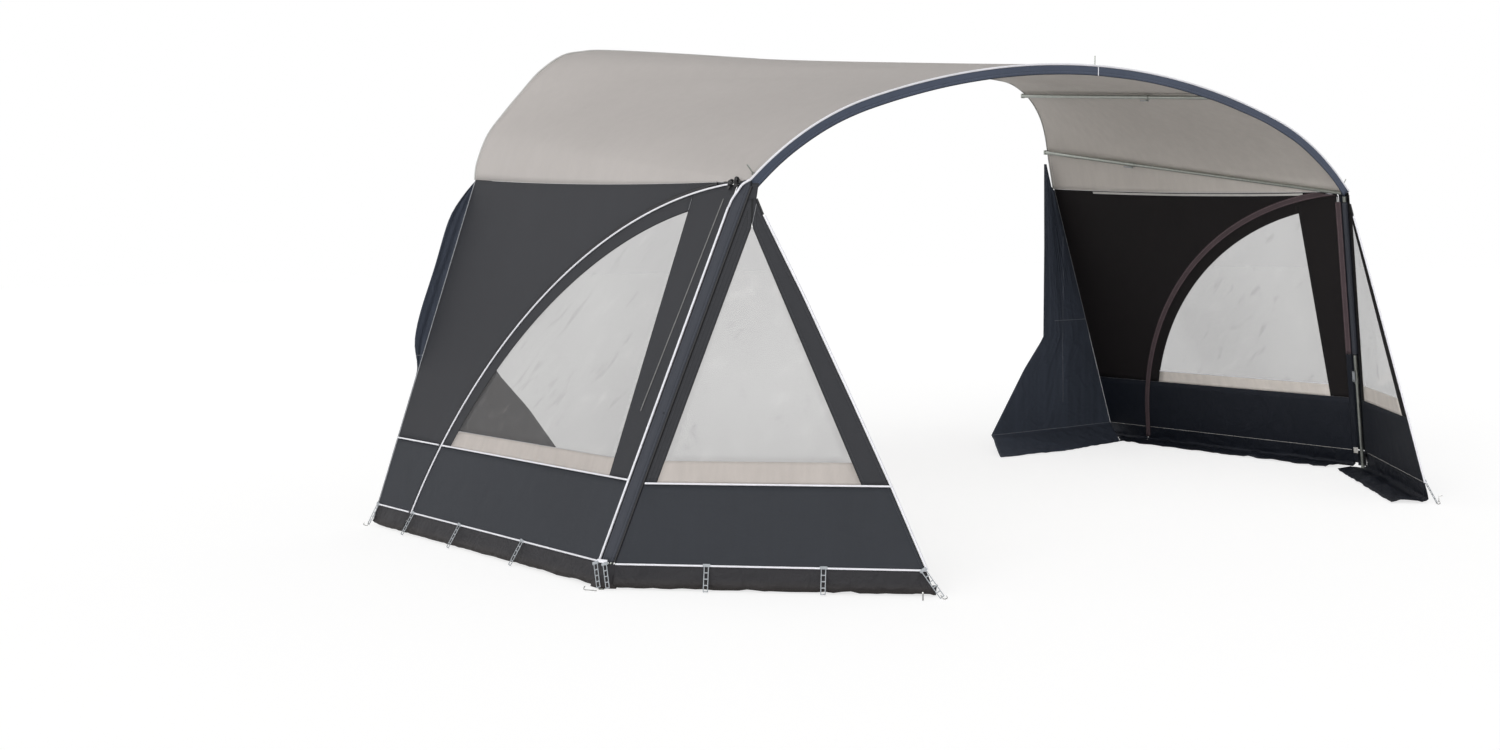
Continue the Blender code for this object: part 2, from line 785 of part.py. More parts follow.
def ear(name, place):
    """The lug and pin of a clamp lever, in the lever's axes."""
    lug = block(
        name + "_lug",
        place,
        (-EAR_HALF_LENGTH, -EAR_HALF_WIDTH, -EAR_ROOT),
        (EAR_HALF_LENGTH, EAR_HALF_WIDTH, EAR_TOP),
    )
    across = place.to_3x3() @ Vector((0, 1, 0))
    start = place @ Vector((0, -LEVER_HALF_WIDTH, 0))
    pin = peg(name + "_pin", start, across, LEVER_HALF_WIDTH + LEVER_HALF_WIDTH, PIN_RADIUS)
    return lug, pin


def lever(name, place):
    """A clamp lever. Its pin runs along the placing matrix's Y axis, its tail along X."""
    made = block(
        name,
        place,
        (-LEVER_NOSE, -LEVER_HALF_WIDTH, -LEVER_HALF_THICKNESS),
        (LEVER_TAIL, LEVER_HALF_WIDTH, LEVER_HALF_THICKNESS),
        "black_plastic",
    )
    slot = block(
        name + "_slot",
        place,
        (-LEVER_SLOT_REACH, -LEVER_SLOT, -LEVER_SLOT_REACH),
        (LEVER_SLOT_REACH, LEVER_SLOT, LEVER_SLOT_REACH),
    )
    across = place.to_3x3() @ Vector((0, 1, 0))
    start = place @ Vector((0, -LEVER_TAIL, 0))
    bore = peg(name + "_bore", start, across, LEVER_TAIL + LEVER_TAIL, PIN_BORE)
    boolean(made, slot, "DIFFERENCE")
    return boolean(made, bore, "DIFFERENCE")


def lever_place(centre, tail, away):
    """Placing matrix of a lever: tail direction X, across Y, away from the tube Z."""
    return basis(centre + away.normalized() * LEVER_PIVOT, away, tail)


def hung_on(name, at, *pieces):
    """An empty on a joint's axis that carries the moving pieces."""
    holder = bpy.data.objects.new(name, None)
    bpy.context.scene.collection.objects.link(holder)
    holder.location = at
    for piece in pieces:
        piece.parent = holder
        piece.matrix_parent_inverse = Matrix.Translation(-at)
    return holder


def make_rafter(name, corners):
    side, arch_share, rail_share, clamp_share = RAFTER_SHARES[name]
    at_corner = arch_share == 1
    rear = rail_at(side, rail_share, RAFTER_REAR_INSET, -BRACKET[1] / 2)
    front = joint_at(corners[side])
    if not at_corner:
        front = arch_at(side * arch_share * ARCH_LENGTH, ARCH_TUBE_INSET, ARCH_TUBE_Y)
    span = front - rear
    direction = span.normalized()
    clamp_end = span.length * clamp_share
    outer = turned(
        "rafter_rear_tube_" + name,
        rear,
        direction,
        [
            (0, 0),
            (0, OUTER_TUBE),
            (clamp_end - COLLAR_LENGTH, OUTER_TUBE),
            (clamp_end - COLLAR_LENGTH, COLLAR),
            (clamp_end, COLLAR),
            (clamp_end, OUTER_BORE),
            (PLUG, OUTER_BORE),
            (PLUG, 0),
        ],
        "galvanised_steel",
    )
    half = Vector(BRACKET) / 2
    plate = block(name + "_plate", Matrix.Translation(rear), -half, half)
    down = Vector((0, 0, -1))
    away = down - direction * down.dot(direction)
    place = lever_place(rear + direction * (clamp_end - COLLAR_LENGTH / 2), -direction, away)
    fused(outer, plate, *ear(name, place))
    hung_on("rafter_lever_joint_" + name, place.translation, lever("rafter_lever_" + name, place))

    start = rear + direction * (clamp_end - SLIDE_OVERLAP)
    stop = span.length - (clamp_end - SLIDE_OVERLAP)
    if at_corner:
        length = stop - JOINT_SHOULDER
        profile = [(0, INNER_BORE), (0, INNER_TUBE), (length, INNER_TUBE), (length, INNER_BORE)]
        inner = turned("rafter_front_tube_" + name, start, direction, profile, "galvanised_steel")
    else:
        length = stop - SADDLE_BORE / 2
        profile = plugged_tube(length)
        inner = turned("rafter_front_tube_" + name, start, direction, profile, "galvanised_steel")
        hook_on_arch(inner, name, side, arch_share, front)
    hung_on("rafter_joint_" + name, start, inner)


def plugged_tube(length):
    """The profile of an inner tube with a solid end."""
    solid = length - PLUG
    return [
        (0, INNER_BORE),
        (0, INNER_TUBE),
        (length, INNER_TUBE),
        (length, 0),
        (solid, 0),
        (solid, INNER_BORE),
    ]


def half_ring(name, centre, tangent, open_way):
    """A bar with the section of a C, open to one side, that lies along a tangent through its centre."""
    place = basis(centre - tangent * SADDLE_HALF, tangent, open_way)
    turns = steps_between(SADDLE_OPENING, math.tau - SADDLE_OPENING, SADDLE_SIDES)
    outline = [(SADDLE_RADIUS, turn) for turn in turns] + [(SADDLE_BORE, turn) for turn in reversed(turns)]
    build = bmesh.new()
    spots = [Vector((size * math.cos(turn), size * math.sin(turn), 0)) for size, turn in outline]
    face = build.faces.new([build.verts.new(place @ spot) for spot in spots])
    made = bmesh.ops.extrude_face_region(build, geom=[face], use_keep_orig=True)
    moved = [item for item in made["geom"] if isinstance(item, bmesh.types.BMVert)]
    bmesh.ops.translate(build, vec=tangent * (SADDLE_HALF + SADDLE_HALF), verts=moved)
    return add_object(name, mesh_from(build, name))


def hook_on_arch(inner, name, side, arch_share, centre):
    """Ends a rafter in the half ring that sits under and behind the arch."""
    slope = arch_slope(arch_share * ARCH_LENGTH)
    tangent = Vector((side * math.cos(slope), 0, -math.sin(slope)))
    outward = Vector((side * math.sin(slope), 0, math.cos(slope)))
    start = centre - tangent * SADDLE_CUT
    middle_wall = (SADDLE_BORE + SADDLE_RADIUS) / 2
    bite = peg(name + "_bite", start, tangent, SADDLE_CUT + SADDLE_CUT, middle_wall, SADDLE_SIDES)
    boolean(inner, bite, "DIFFERENCE")
    fused(inner, half_ring(name + "_saddle", centre, tangent, outward - Vector((0, 1, 0))))


def make_upright(word, corner):
    side = corner.side
    joint = joint_at(corner)
    down = -corner.line
    arch_end = arch_at(side * ARCH_LENGTH, ARCH_TUBE_INSET, ARCH_TUBE_Y)
    arch_back = arch_at(side * (ARCH_LENGTH - SPIGOT_LENGTH), ARCH_TUBE_INSET, ARCH_TUBE_Y)
    rafter_rear = rail_at(side, SEAM_RAIL_SHARE, RAFTER_REAR_INSET, -BRACKET[1] / 2)
    build = bmesh.new()
    rings = TUBE_SIDES // 2 + 1
    bmesh.ops.create_uvsphere(build, u_segments=TUBE_SIDES, v_segments=rings, radius=JOINT_RADIUS)
    bmesh.ops.translate(build, vec=joint, verts=build.verts[:])
    ball = add_object("corner_joint_" + word, mesh_from(build, "corner_joint_" + word), "black_plastic")
    length = side * (ARCH_LENGTH - CORNER_SPIKE_SHIFT)
    fused(
        ball,
        peg(word + "_leg_spigot", joint, down, SPIGOT_LENGTH, LEG_SPIGOT),
        peg(word + "_arch_spigot", arch_end, arch_back - arch_end, SPIGOT_LENGTH, ARCH_SPIGOT),
        peg(word + "_rafter_spigot", joint, rafter_rear - joint, SPIGOT_LENGTH, RAFTER_SPIGOT),
    )
    spike_foot = spike_start(length) + spike_direction(length) * ARCH_INNER_BORE
    tube = bpy.data.objects["arch_tube_" + word]
    reach = SPIKE_LENGTH - ARCH_INNER_BORE
    fused(tube, peg(word + "_spike", spike_foot, spike_direction(length), reach, SPIKE_RADIUS))

    top = joint + down * JOINT_SHOULDER
    clamp = corner.leg_at(LEG_CLAMP_HEIGHT)
    reach = (clamp - top).length + COLLAR_LENGTH / 2
    upper = turned(
        "leg_upper_tube_" + word,
        top,
        down,
        [
            (0, OUTER_BORE),
            (0, OUTER_TUBE),
            (reach - COLLAR_LENGTH, OUTER_TUBE),
            (reach - COLLAR_LENGTH, COLLAR),
            (reach, COLLAR),
            (reach, OUTER_BORE),
        ],
        "galvanised_steel",
    )
    place = lever_place(clamp, corner.line, corner.inward)
    fused(upper, *ear(word + "_leg", place))
    hung_on("leg_lever_joint_" + word, place.translation, lever("leg_lever_" + word, place))

    start = top + down * (reach - SLIDE_OVERLAP)
    bottom = corner.leg_at(LEG_BOTTOM)
    profile = plugged_tube((bottom - start).length)
    lower = turned("leg_lower_tube_" + word, start, down, profile, "galvanised_steel")
    upright = Vector((0, 0, 1))
    foot = peg(word + "_foot", corner.leg_at(0), upright, FOOT_HEIGHT, INNER_TUBE + FOOT_RIM, POCKET_SIDES)
    fused(lower, foot)
    hung_on("leg_joint_" + word, start, lower)


def make_sleeve(word, corner):
    """The cloth strip over the corner with the pocket that holds the upright."""
    rows = []
    for z in (SLEEVE_BOTTOM, SLEEVE_TOP):
        rows.append(
            [
                corner.wall_edge(z, DOOR_HINGE_INSET - PIPING - GAP),
                corner.wall_edge(z, 0),
                corner.wing_edge(z, WING_HINGE_INSET),
            ]
        )
    strip = sheet("corner_sleeve_" + word, rows, CLOTH, "navy_fabric")
    bead_ends = [corner.wing_edge(z, WING_HINGE_INSET) for z in (SLEEVE_BOTTOM, SLEEVE_TOP)]
    bead = rod(word + "_sleeve_bead", bead_ends, THIN_PIPING, None)
    low = corner.leg_at(POCKET_BOTTOM)
    high = corner.leg_at(POCKET_TOP)
    length = (high - low).length
    pocket = turned(
        word + "_pocket",
        low,
        corner.line,
        [(0, POCKET_BORE), (0, POCKET_RADIUS), (length, POCKET_RADIUS), (length, POCKET_BORE)],
        None,
        POCKET_SIDES,
    )
    fused(strip, bead, pocket)


def below_seam(a, h):
    """Positive once a point is past the lower edge of the roof's seam."""
    return h - seam_height(a) + SEAM_GAP


def first_stop(radius):
    """The turn at which the zip's circle first meets the seam or the hinge line of the door."""
    return min(crossing(radius, below_seam), crossing(radius, front_limit))


def make_side_panel(word, corner):
    radius = ZIP_RADIUS + THIN_PIPING + GAP + ZIP_WIDTH + GAP
    low = SKIRT_TOP + THIN_PIPING + GAP
    turn = first_stop(radius)
    rear = rear_edge(WALL_SEAM[0][-1])
    front, height = zip_at(radius, turn)
    tops = [(a, seam_height(a) - SEAM_GAP) for a in steps_between(front, rear, SEAM_STEPS)]
    if height < tops[0][-1] - WELD:
        hinge = Edge(WALL_CORNER)
        top = hinge.at(tops[0][-1], -DOOR_HINGE_INSET - PIPING - GAP)[0]
        tops = [(a, seam_height(a) - SEAM_GAP) for a in steps_between(top, rear, SEAM_STEPS)]
    outline = [*tops, (rear_edge(low), low)]
    arc = zip_arc(radius, zip_turn(radius, low), turn)
    outline += arc if height < tops[0][-1] - WELD else arc[:-1]
    flat_piece("side_panel_" + word, corner.wall, outline, CLOTH, "wall_fabric")

    inner = ZIP_RADIUS + THIN_PIPING + GAP
    outer = inner + ZIP_WIDTH
    bottom = HEM / 2
    tape = zip_arc(inner, zip_turn(inner, bottom), first_stop(inner))
    tape += reversed(zip_arc(outer, zip_turn(outer, bottom), first_stop(outer)))
    flat_piece("zip_strip_" + word, corner.wall, tape, ZIP_THICKNESS, "zip_tape")


def rear_edge(h):
    """The rear edge of the side wall, which stands upright a little ahead of the rail."""
    (start, height), _ = WALL_SEAM
    return WALL_REAR_MARGIN + start * h / height


def front_limit(a, h):
    """Positive once a point is past the front edge of the door."""
    return a - Edge(WALL_CORNER).at(h, -DOOR_HINGE_INSET - PIPING - GAP)[0]


def flap_rows(plane, top, rear_limit, front_limit_at, depth, columns, mitres):
    """Rows of a skirt: down the plane, then inward along the ground, mitred at the rear and the front."""
    low = plane.height(FLAP_FLOOR)
    rows = []
    for h in (*steps_between(top, HEM, SKIRT_ROWS), plane.height(FLAP_BEND), low):
        rows.append([plane.at(a, h) for a in steps_between(rear_limit(h), front_limit_at(h), columns)])
    for inward in (depth / 2, depth):
        rear = rear_limit(low) + inward * mitres[0]
        front = front_limit_at(low) - inward * mitres[1]
        rows.append([plane.ground(a, inward, FLAP_FLOOR) for a in steps_between(rear, front, columns)])
    return rows


def make_rear_skirt(word, corner):
    radius = ZIP_RADIUS + THIN_PIPING + GAP + ZIP_WIDTH + ZIP_SKIRT_GAP

    def front(h):
        return zip_at(radius, zip_turn(radius, h))[0]

    mitres = (REAR_MITRE_SHARE, 0)
    rows = flap_rows(corner.wall, SKIRT_TOP, rear_edge, front, REAR_FLAP_DEPTH, REAR_SKIRT_COLUMNS, mitres)
    skirt = sheet("rear_skirt_" + word, rows, CLOTH, "skirt_fabric")
    ends = [corner.wall.at(a, SKIRT_TOP) for a in (rear_edge(SKIRT_TOP) + PIPING, front(SKIRT_TOP) - PIPING)]
    fused(skirt, rod(word + "_rear_bead", ends, THIN_PIPING, None))


def ladder(name, plane, a, top, lean):
    """A peg ladder that leans out from the hem to the ground, and where a peg bears on its last rung."""
    start = plane.at(a, top, HEM_LIFT)
    end = plane.ground(a, -lean, LADDER_FLOOR)
    down = (end - start).normalized()
    reach = (end - start).length / LADDER_DOWN[-1]
    rows = [[start + down * (reach * d) + plane.ahead * x for x in LADDER_ACROSS] for d in LADDER_DOWN]
    slots = [(j, 1) for j in range(1, len(LADDER_DOWN) - 1, 2)]
    level = math.hypot(down.x, down.y)
    clear = (PEG_RADIUS + GAP - LADDER_THICKNESS / 2 * down.z) / level
    return sheet(name, rows, LADDER_THICKNESS, None, slots), start + down * (reach * LADDER_DOWN[-2] - clear)


def make_door(word, corner):
    wall = corner.wall
    edge = Edge(WALL_CORNER)
    margin = DOOR_HINGE_INSET + PIPING + GAP
    low = SKIRT_TOP + THIN_PIPING + GAP
    radius = ZIP_RADIUS - THIN_PIPING - GAP
    top_turn = crossing(radius, front_limit)
    window_turn = math.acos((ZIP_CENTRE[0] - WINDOW_TOP_A) / WINDOW_RADIUS)
    outline = [edge.at(low, -margin)]
    outline += reversed(zip_arc(radius, zip_turn(radius, low), top_turn))
    outline += zip_arc(WINDOW_RADIUS, zip_turn(WINDOW_RADIUS, low), window_turn)
    outline.append((WINDOW_BOTTOM_A, low))
    panel = flat_piece("door_panel_" + word, wall, outline, CLOTH, "wall_fabric")

    pane = zip_arc(WINDOW_RADIUS, zip_turn(WINDOW_RADIUS, low), window_turn) + [(WINDOW_BOTTOM_A, low)]
    window = flat_piece("door_window_" + word, wall, shrunk(pane), FOIL, "clear_foil")

    skirt_radius = radius - GAP - GAP

    def rear(h):
        return zip_at(skirt_radius, zip_turn(skirt_radius, h))[0]

    def front(h):
        return edge.at(h, -margin)[0]

    skirt_top = SKIRT_TOP - THIN_PIPING - GAP
    rows = flap_rows(wall, skirt_top, rear, front, FLAP_DEPTH, DOOR_SKIRT_COLUMNS, (0, MITRE_SHARE))
    skirt = sheet("door_skirt_" + word, rows, CLOTH, "skirt_fabric")

    hinge = [corner.wall_edge(z, DOOR_HINGE_INSET) for z in (CORNER_PIPING_BOTTOM, SLEEVE_TOP)]
    piping = rod("door_piping_" + word, hinge, PIPING, "white_piping")

    def at_hinge(a, h):
        return a - edge.at(h, -DOOR_HINGE_INSET - PIPING / 2)[0]

    arc_points = zip_arc(ZIP_RADIUS, zip_turn(ZIP_RADIUS, HEM), crossing(ZIP_RADIUS, at_hinge))
    extra = [rod(word + "_arc", [wall.at(*point) for point in arc_points], THIN_PIPING, None)]
    hem = HEM + HEM_PIPING_RISE
    for h, lift in ((SKIRT_TOP, 0), (hem, HEM_LIFT)):
        ends = (zip_at(ZIP_RADIUS, zip_turn(ZIP_RADIUS, h)), edge.at(h, -DOOR_HINGE_INSET))
        extra.append(rod(word + "_line", [wall.at(*end, lift) for end in ends], THIN_PIPING, None))
    length = WALL_CORNER[0][0]
    for share in DOOR_LADDER_SHARES:
        extra.append(ladder(word + "_door_ladder", wall, length * share, hem, LADDER_LEAN)[0])
    fused(piping, *extra)
    hung_on("door_joint_" + word, hinge[0], panel, window, skirt, piping)


def make_slider(word, corner):
    radius = ZIP_RADIUS + THIN_PIPING + GAP + ZIP_WIDTH / 2
    turn = first_stop(radius + ZIP_WIDTH / 2) - SLIDER_BACK / radius
    centre = corner.wall.at(*ZIP_CENTRE)
    spot = corner.wall.at(*zip_at(radius, turn))
    outward = (spot - centre).normalized()
    tangent = corner.wall.out.cross(outward) * corner.side
    place = basis(spot, corner.wall.out, outward)
    if place.to_3x3().col[1].dot(tangent) < 0:
        tangent = -tangent
    size = Vector(SLIDER_SIZE)
    lift = Vector((0, 0, SLIDER_LIFT))
    body = block("zip_slider_" + word, place, lift - size, lift + size, "black_plastic")
    pull = Vector(PULLER_SIZE)
    to_foot = 1 if (place @ Vector((0, 1, 0)) - spot).z < 0 else -1
    shift = Vector((0, to_foot * PULLER_SHIFT, PULLER_LIFT))
    fused(body, block(word + "_puller", place, shift - pull, shift + pull))
    hung_on("zip_joint_" + word, centre, body)


def make_wing(word, corner):
    wing = corner.wing
    edge = Edge(WING_CORNER)
    margin = WING_HINGE_INSET + THIN_PIPING + GAP
    low = WING_SKIRT_TOP + THIN_PIPING + GAP
    trim = PIPING + GAP + GAP
    length, _ = WING_OUTER[-1]
    apex = wing_point(*WING_WINDOW_TOP_SHARES)
    left_a = edge.at(low)[0] + WING_WINDOW_REAR
    right_a = line_at(WING_OUTER, low) - WING_WINDOW_FRONT

    def outer(h):
        return line_at(WING_OUTER, h) - trim * edge.stretch

    tops = [(outer(h), h) for _, h in WING_OUTER if h > low] + [(outer(low), low)]
    outline = [edge.at(low, margin), edge.at(WING_OUTER[0][1], margin), *tops]
    pane = [(right_a, low), apex, (left_a, low)]
    panel = flat_piece("wing_panel_" + word, wing, outline + pane, CLOTH, "wall_fabric")
    window = flat_piece("wing_window_" + word, wing, shrunk(pane), FOIL, "clear_foil")

    def inner(h):
        return WING_FLAP_START if h < HEM - FLAP_BEND else edge.at(h, margin)[0]

    skirt_top = WING_SKIRT_TOP - THIN_PIPING - GAP
    rows = flap_rows(wing, skirt_top, inner, outer, FLAP_DEPTH, WING_SKIRT_COLUMNS, (MITRE_SHARE, 0))
    skirt = sheet("wing_skirt_" + word, rows, CLOTH, "skirt_fabric")

    hem = WING_HEM_PIPING
    path = [wing.at(a, h) for a, h in WING_OUTER if h > hem] + [wing.at(line_at(WING_OUTER, hem), hem)]
    piping = rod("wing_piping_" + word, path, PIPING, "white_piping")
    extra = []
    for h, lift in ((WING_SKIRT_TOP, 0), (hem, HEM_LIFT)):
        start = edge.at(h, margin + THIN_PIPING)
        ends = (start, (line_at(WING_OUTER, h), h))
        extra.append(rod(word + "_wing_line", [wing.at(*end, lift) for end in ends], THIN_PIPING, None))
    for share in WING_LADDER_SHARES:
        extra.append(ladder(word + "_wing_ladder", wing, length * share, hem, LADDER_LEAN)[0])
    tip_a = line_at(WING_OUTER, hem) - LADDER_ACROSS[-1]
    tip_ladder, slot = ladder(word + "_tip_ladder", wing, tip_a, hem, TIP_LADDER_LEAN)
    fused(piping, *extra, tip_ladder)
    hook = [
        Vector((slot.x, slot.y, PEG_RADIUS / 2)),
        Vector((slot.x, slot.y, PEG_HEIGHT)),
        Vector((slot.x, slot.y, PEG_HEIGHT)) + corner.wing.out * PEG_HOOK,
    ]
    pin = rod("tip_peg_" + word, hook, PEG_RADIUS, "peg_steel")
    hung_on(
        "wing_joint_" + word,
        corner.wing_edge(SLEEVE_BOTTOM, WING_HINGE_INSET),
        panel,
        window,
        skirt,
        piping,
        pin,
    )


def make_return(word, corner):
    """The gathered draught panel between the side wall and the rail, with its flap on the ground."""
    side = corner.side
    inner_line = [(RAIL_HALF_WIDTH * x, RETURN_HEIGHT * z) for x, z in RETURN_INNER_SHARES]
    seam_end = RAIL_HEIGHT - RAIL_DROP - RETURN_SEAM_DROP
    shoulder = [(RAIL_HALF_WIDTH * x, z) for x, z in zip(RETURN_SHOULDER_SHARES, (RETURN_HEIGHT, seam_end))]
    across_shares = steps_between(0, 1, RETURN_COLUMNS)
    rows = []
    for z in steps_between(RETURN_HEIGHT, inner_line[-1][-1], RETURN_ROWS):
        inner = line_at(inner_line, z)
        outer = abs(corner.wall.at(0, corner.wall.height(z)).x)
        if z > seam_end:
            outer = line_at(shoulder, z)
        row = []
        for share in across_shares:
            wave = RETURN_FOLD * math.sin(math.tau * RETURN_FOLDS * share) * math.sin(math.pi * share)
            row.append(Vector((side * (inner + (outer - inner) * share), RETURN_Y - abs(wave), z)))
        rows.append(row)
    edge = [Vector((GROUND_HALF_WIDTH * x, -RETURN_FLAP_DEPTH * y)) for x, y in RETURN_FLAP_SHARES]
    last = rows[-1]
    for depth_share in (0, 1 / 2, 1):
        row = []
        for share, point in zip(across_shares, last):
            spot, _ = along(edge, share)
            end = Vector((side * spot.x, spot.y, FLAP_FLOOR))
            start = Vector((point.x - side * RETURN_CLEARANCE * share, point.y, FLAP_FLOOR))
            row.append(start.lerp(end, depth_share))
        rows.append(row)
    sheet("return_panel_" + word, rows, CLOTH, "navy_fabric")


def rest_on_origin():
    """Moves everything so that the bounding box stands centred on the origin."""
    bpy.context.view_layer.update()
    graph = bpy.context.evaluated_depsgraph_get()
    low = Vector((math.inf,) * 3)
    high = -low
    for item in bpy.data.objects:
        if item.type != "MESH" or item.hide_render:
            continue
        evaluated = item.evaluated_get(graph)
        mesh = evaluated.to_mesh()
        for vertex in mesh.vertices:
            point = evaluated.matrix_world @ vertex.co
            low = Vector(map(min, low, point))
            high = Vector(map(max, high, point))
        evaluated.to_mesh_clear()
    shift = Vector(((low.x + high.x) / 2, (low.y + high.y) / 2, low.z))
    for item in bpy.data.objects:
        if item.parent is None:
            item.location -= shift


def main():
    clear_scene()
    corners = {side: Corner(side) for side in SIDES.values()}
    make_roof(corners)
    make_front(corners)
    for name in RAFTER_SHARES:
        make_rafter(name, corners)
    for word, side in SIDES.items():
        corner = corners[side]
        make_upright(word, corner)
        make_sleeve(word, corner)
        make_side_panel(word, corner)
        make_rear_skirt(word, corner)
        make_return(word, corner)
        make_door(word, corner)
        make_slider(word, corner)
        make_wing(word, corner)
    rest_on_origin()


main()
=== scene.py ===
"""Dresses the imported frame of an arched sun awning: cloth, windows, zips, piping and tubes.

Metres. X is the width, Y runs from the open front to the rail at the back, Z is up.
Each operator makes one group of pieces; the last one builds the studio round them.
"""

import math

import bmesh
import bpy
from mathutils import Matrix, Vector, noise


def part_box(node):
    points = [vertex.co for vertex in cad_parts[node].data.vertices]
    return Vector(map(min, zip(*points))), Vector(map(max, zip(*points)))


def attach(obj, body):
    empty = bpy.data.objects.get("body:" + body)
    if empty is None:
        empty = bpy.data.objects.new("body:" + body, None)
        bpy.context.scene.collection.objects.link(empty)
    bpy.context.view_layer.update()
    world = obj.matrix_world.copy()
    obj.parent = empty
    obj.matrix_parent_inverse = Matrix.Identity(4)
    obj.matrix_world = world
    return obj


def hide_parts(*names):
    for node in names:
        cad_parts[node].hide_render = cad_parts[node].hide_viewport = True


bl_info = {
    "name": "Arched awning",
    "version": (1, 0, 0),
    "blender": (4, 5, 0),
    "location": "3D View > Sidebar > Awning",
    "description": "Sews the cloth, windows, zips and trim of an arched sun awning over its frame",
    "category": "Mesh",
}

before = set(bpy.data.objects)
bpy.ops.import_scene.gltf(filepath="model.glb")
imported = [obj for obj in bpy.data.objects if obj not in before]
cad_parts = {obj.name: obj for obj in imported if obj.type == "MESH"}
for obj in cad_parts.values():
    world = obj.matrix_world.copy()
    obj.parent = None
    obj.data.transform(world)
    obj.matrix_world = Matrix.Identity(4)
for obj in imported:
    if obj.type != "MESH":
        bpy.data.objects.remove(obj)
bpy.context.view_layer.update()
SIDES = {"right": 1, "left": -1}

# Front arch
APEX_HEIGHT = 2.31
ARCH_HALF_WIDTH = 2.18
ARCH_RISE = 0.60
CROWN_RADIUS = 5.2
CROWN_HALF_WIDTH = 1.51
ARCH_Y = -2.366

# Line of the rail as (x, z), from the middle down to the seam of the side wall
RAIL_CURVE = {
    1: (
        (0, 2.55),
        (0.9, 2.546),
        (1.5, 2.537),
        (1.69, 2.529),
        (1.819, 2.512),
        (1.94, 2.462),
        (2.044, 2.384),
        (2.123, 2.28),
        (2.17, 2.159),
        (2.2, 2.02),
        (2.225, 1.91),
        (2.25, 1.8),
    ),
    -1: (
        (0, 2.55),
        (0.8, 2.546),
        (1.4, 2.535),
        (1.58, 2.517),
        (1.7, 2.487),
        (1.84, 2.395),
        (1.95, 2.285),
        (2.076, 2.15),
        (2.17, 2.035),
        (2.235, 1.89),
        (2.25, 1.8),
    ),
}
CURVE_STEPS = 8

# Feet and corners of the right-hand cloth planes
REAR_FOOT = (2.9, 0, 0)
CORNER_FOOT = (2.808, -2.115, 0)
CORNER_TOP = (2.18, -2.355, 1.71)
WING_TIP = (1.82, -3.13, 0)

# Side wall, as (distance ahead from the rear foot, height up the slope)
WALL_CORNER = ((2.117, 0), (2.384, 1.818))
WALL_SEAM = ((0.028, 1.914), (2.384, 1.818))
WALL_REAR_MARGIN = 0.0093
ZIP_CENTRE = (2.444, -0.287)
ZIP_RADIUS = 2.1
ZIP_WIDTH = 0.018
ZIP_EDGE = 0.0045
TAPE_INNER = ZIP_RADIUS + ZIP_EDGE
TAPE_OUTER = TAPE_INNER + ZIP_WIDTH
TAPE_BOTTOM = 0.056
WALL_EASE = 0.0005
REAR_SKIRT_EASE = 0.003
DOOR_EASE = 0.0055
SEAM_EASE = 0.0013
WINDOW_RADIUS = 2.02
WINDOW_TOP = (2.02, 1.69)
WINDOW_BOTTOM_A = 1.97
SKIRT_TOP = 0.478
HEM = 0.117
DOOR_HINGE_INSET = 0.065
DOOR_LADDERS = (0.41, 0.88, 1.453)
STRIP_TOP = 0.562
SIDE_ZIP = ((2.25, 1.74), (2.07, 0.78))

# Storm wing, as (distance ahead from the corner foot, height up the slope)
WING_CORNER = ((0, 0), (0.61, 1.733))
WING_OUTER = (
    (0.652, 1.655),
    (0.683, 1.581),
    (0.853, 1.244),
    (1.063, 0.801),
    (1.227, 0.447),
    (1.388, 0.08),
    (1.416, 0),
)
WING_HINGE_INSET = 0.022
WING_WINDOW_TOP = (0.629, 1.539)
WING_WINDOW_FEET = (0.24, 1.103)
WING_SKIRT_TOP = 0.45
WING_HEM = 0.11
WING_STRIP_TOP = 0.545
WING_LADDERS = (0.46, 0.95)
WING_FLAP_START = 0.06

# Mud flaps
FLAP_DEPTH = 0.2
FLAP_FLOOR = 0.003
FLAP_ROUND = 0.034
HEM_ROW = 8
MITRE_SHARE = 0.381
REAR_MITRE_SHARE = 1.25
FLAP_CRUMPLE = 0.009
FLAP_SWELL = 0.03
FLAP_LAP = 0.026
FLAP_LAP_TOP = 0.054
STITCH_LIFT = -0.0013
STITCH_RADIUS = 0.001

# Draught panel at the rail
RETURN_INNER = ((2.15, 1.97), (2.155, 1.4), (2.15, 0.76), (1.96, 0.55), (1.63, 0.1), (1.575, 0.012))
RETURN_SHOULDER = ((2.165, 1.97), (2.235, 1.79))
RETURN_FLAP = ((1.43, -0.3), (1.97, -0.35), (2.69, -0.25))
RETURN_Y = -0.0062
RETURN_CLEARANCE = 0.006
RETURN_FOLD = 0.022
SEAM_Z = 1.79

RETURN_HEM = 0.11
RETURN_SEAM_X = 2.337
RETURN_SEAM_Z = 0.875
RETURN_COLUMNS = 64
BEHIND_COLUMNS = 8

# How far the draught panel shows beyond the rear edge of the wall, as (width, height)
RETURN_BEHIND = (
    (0, 1.79),
    (0.05, 1.7),
    (0.085, 1.58),
    (0.084, 1.34),
    (0.088, 1.1),
    (0.07, 0.95),
    (0.018, 0.835),
    (0, 0.78),
)

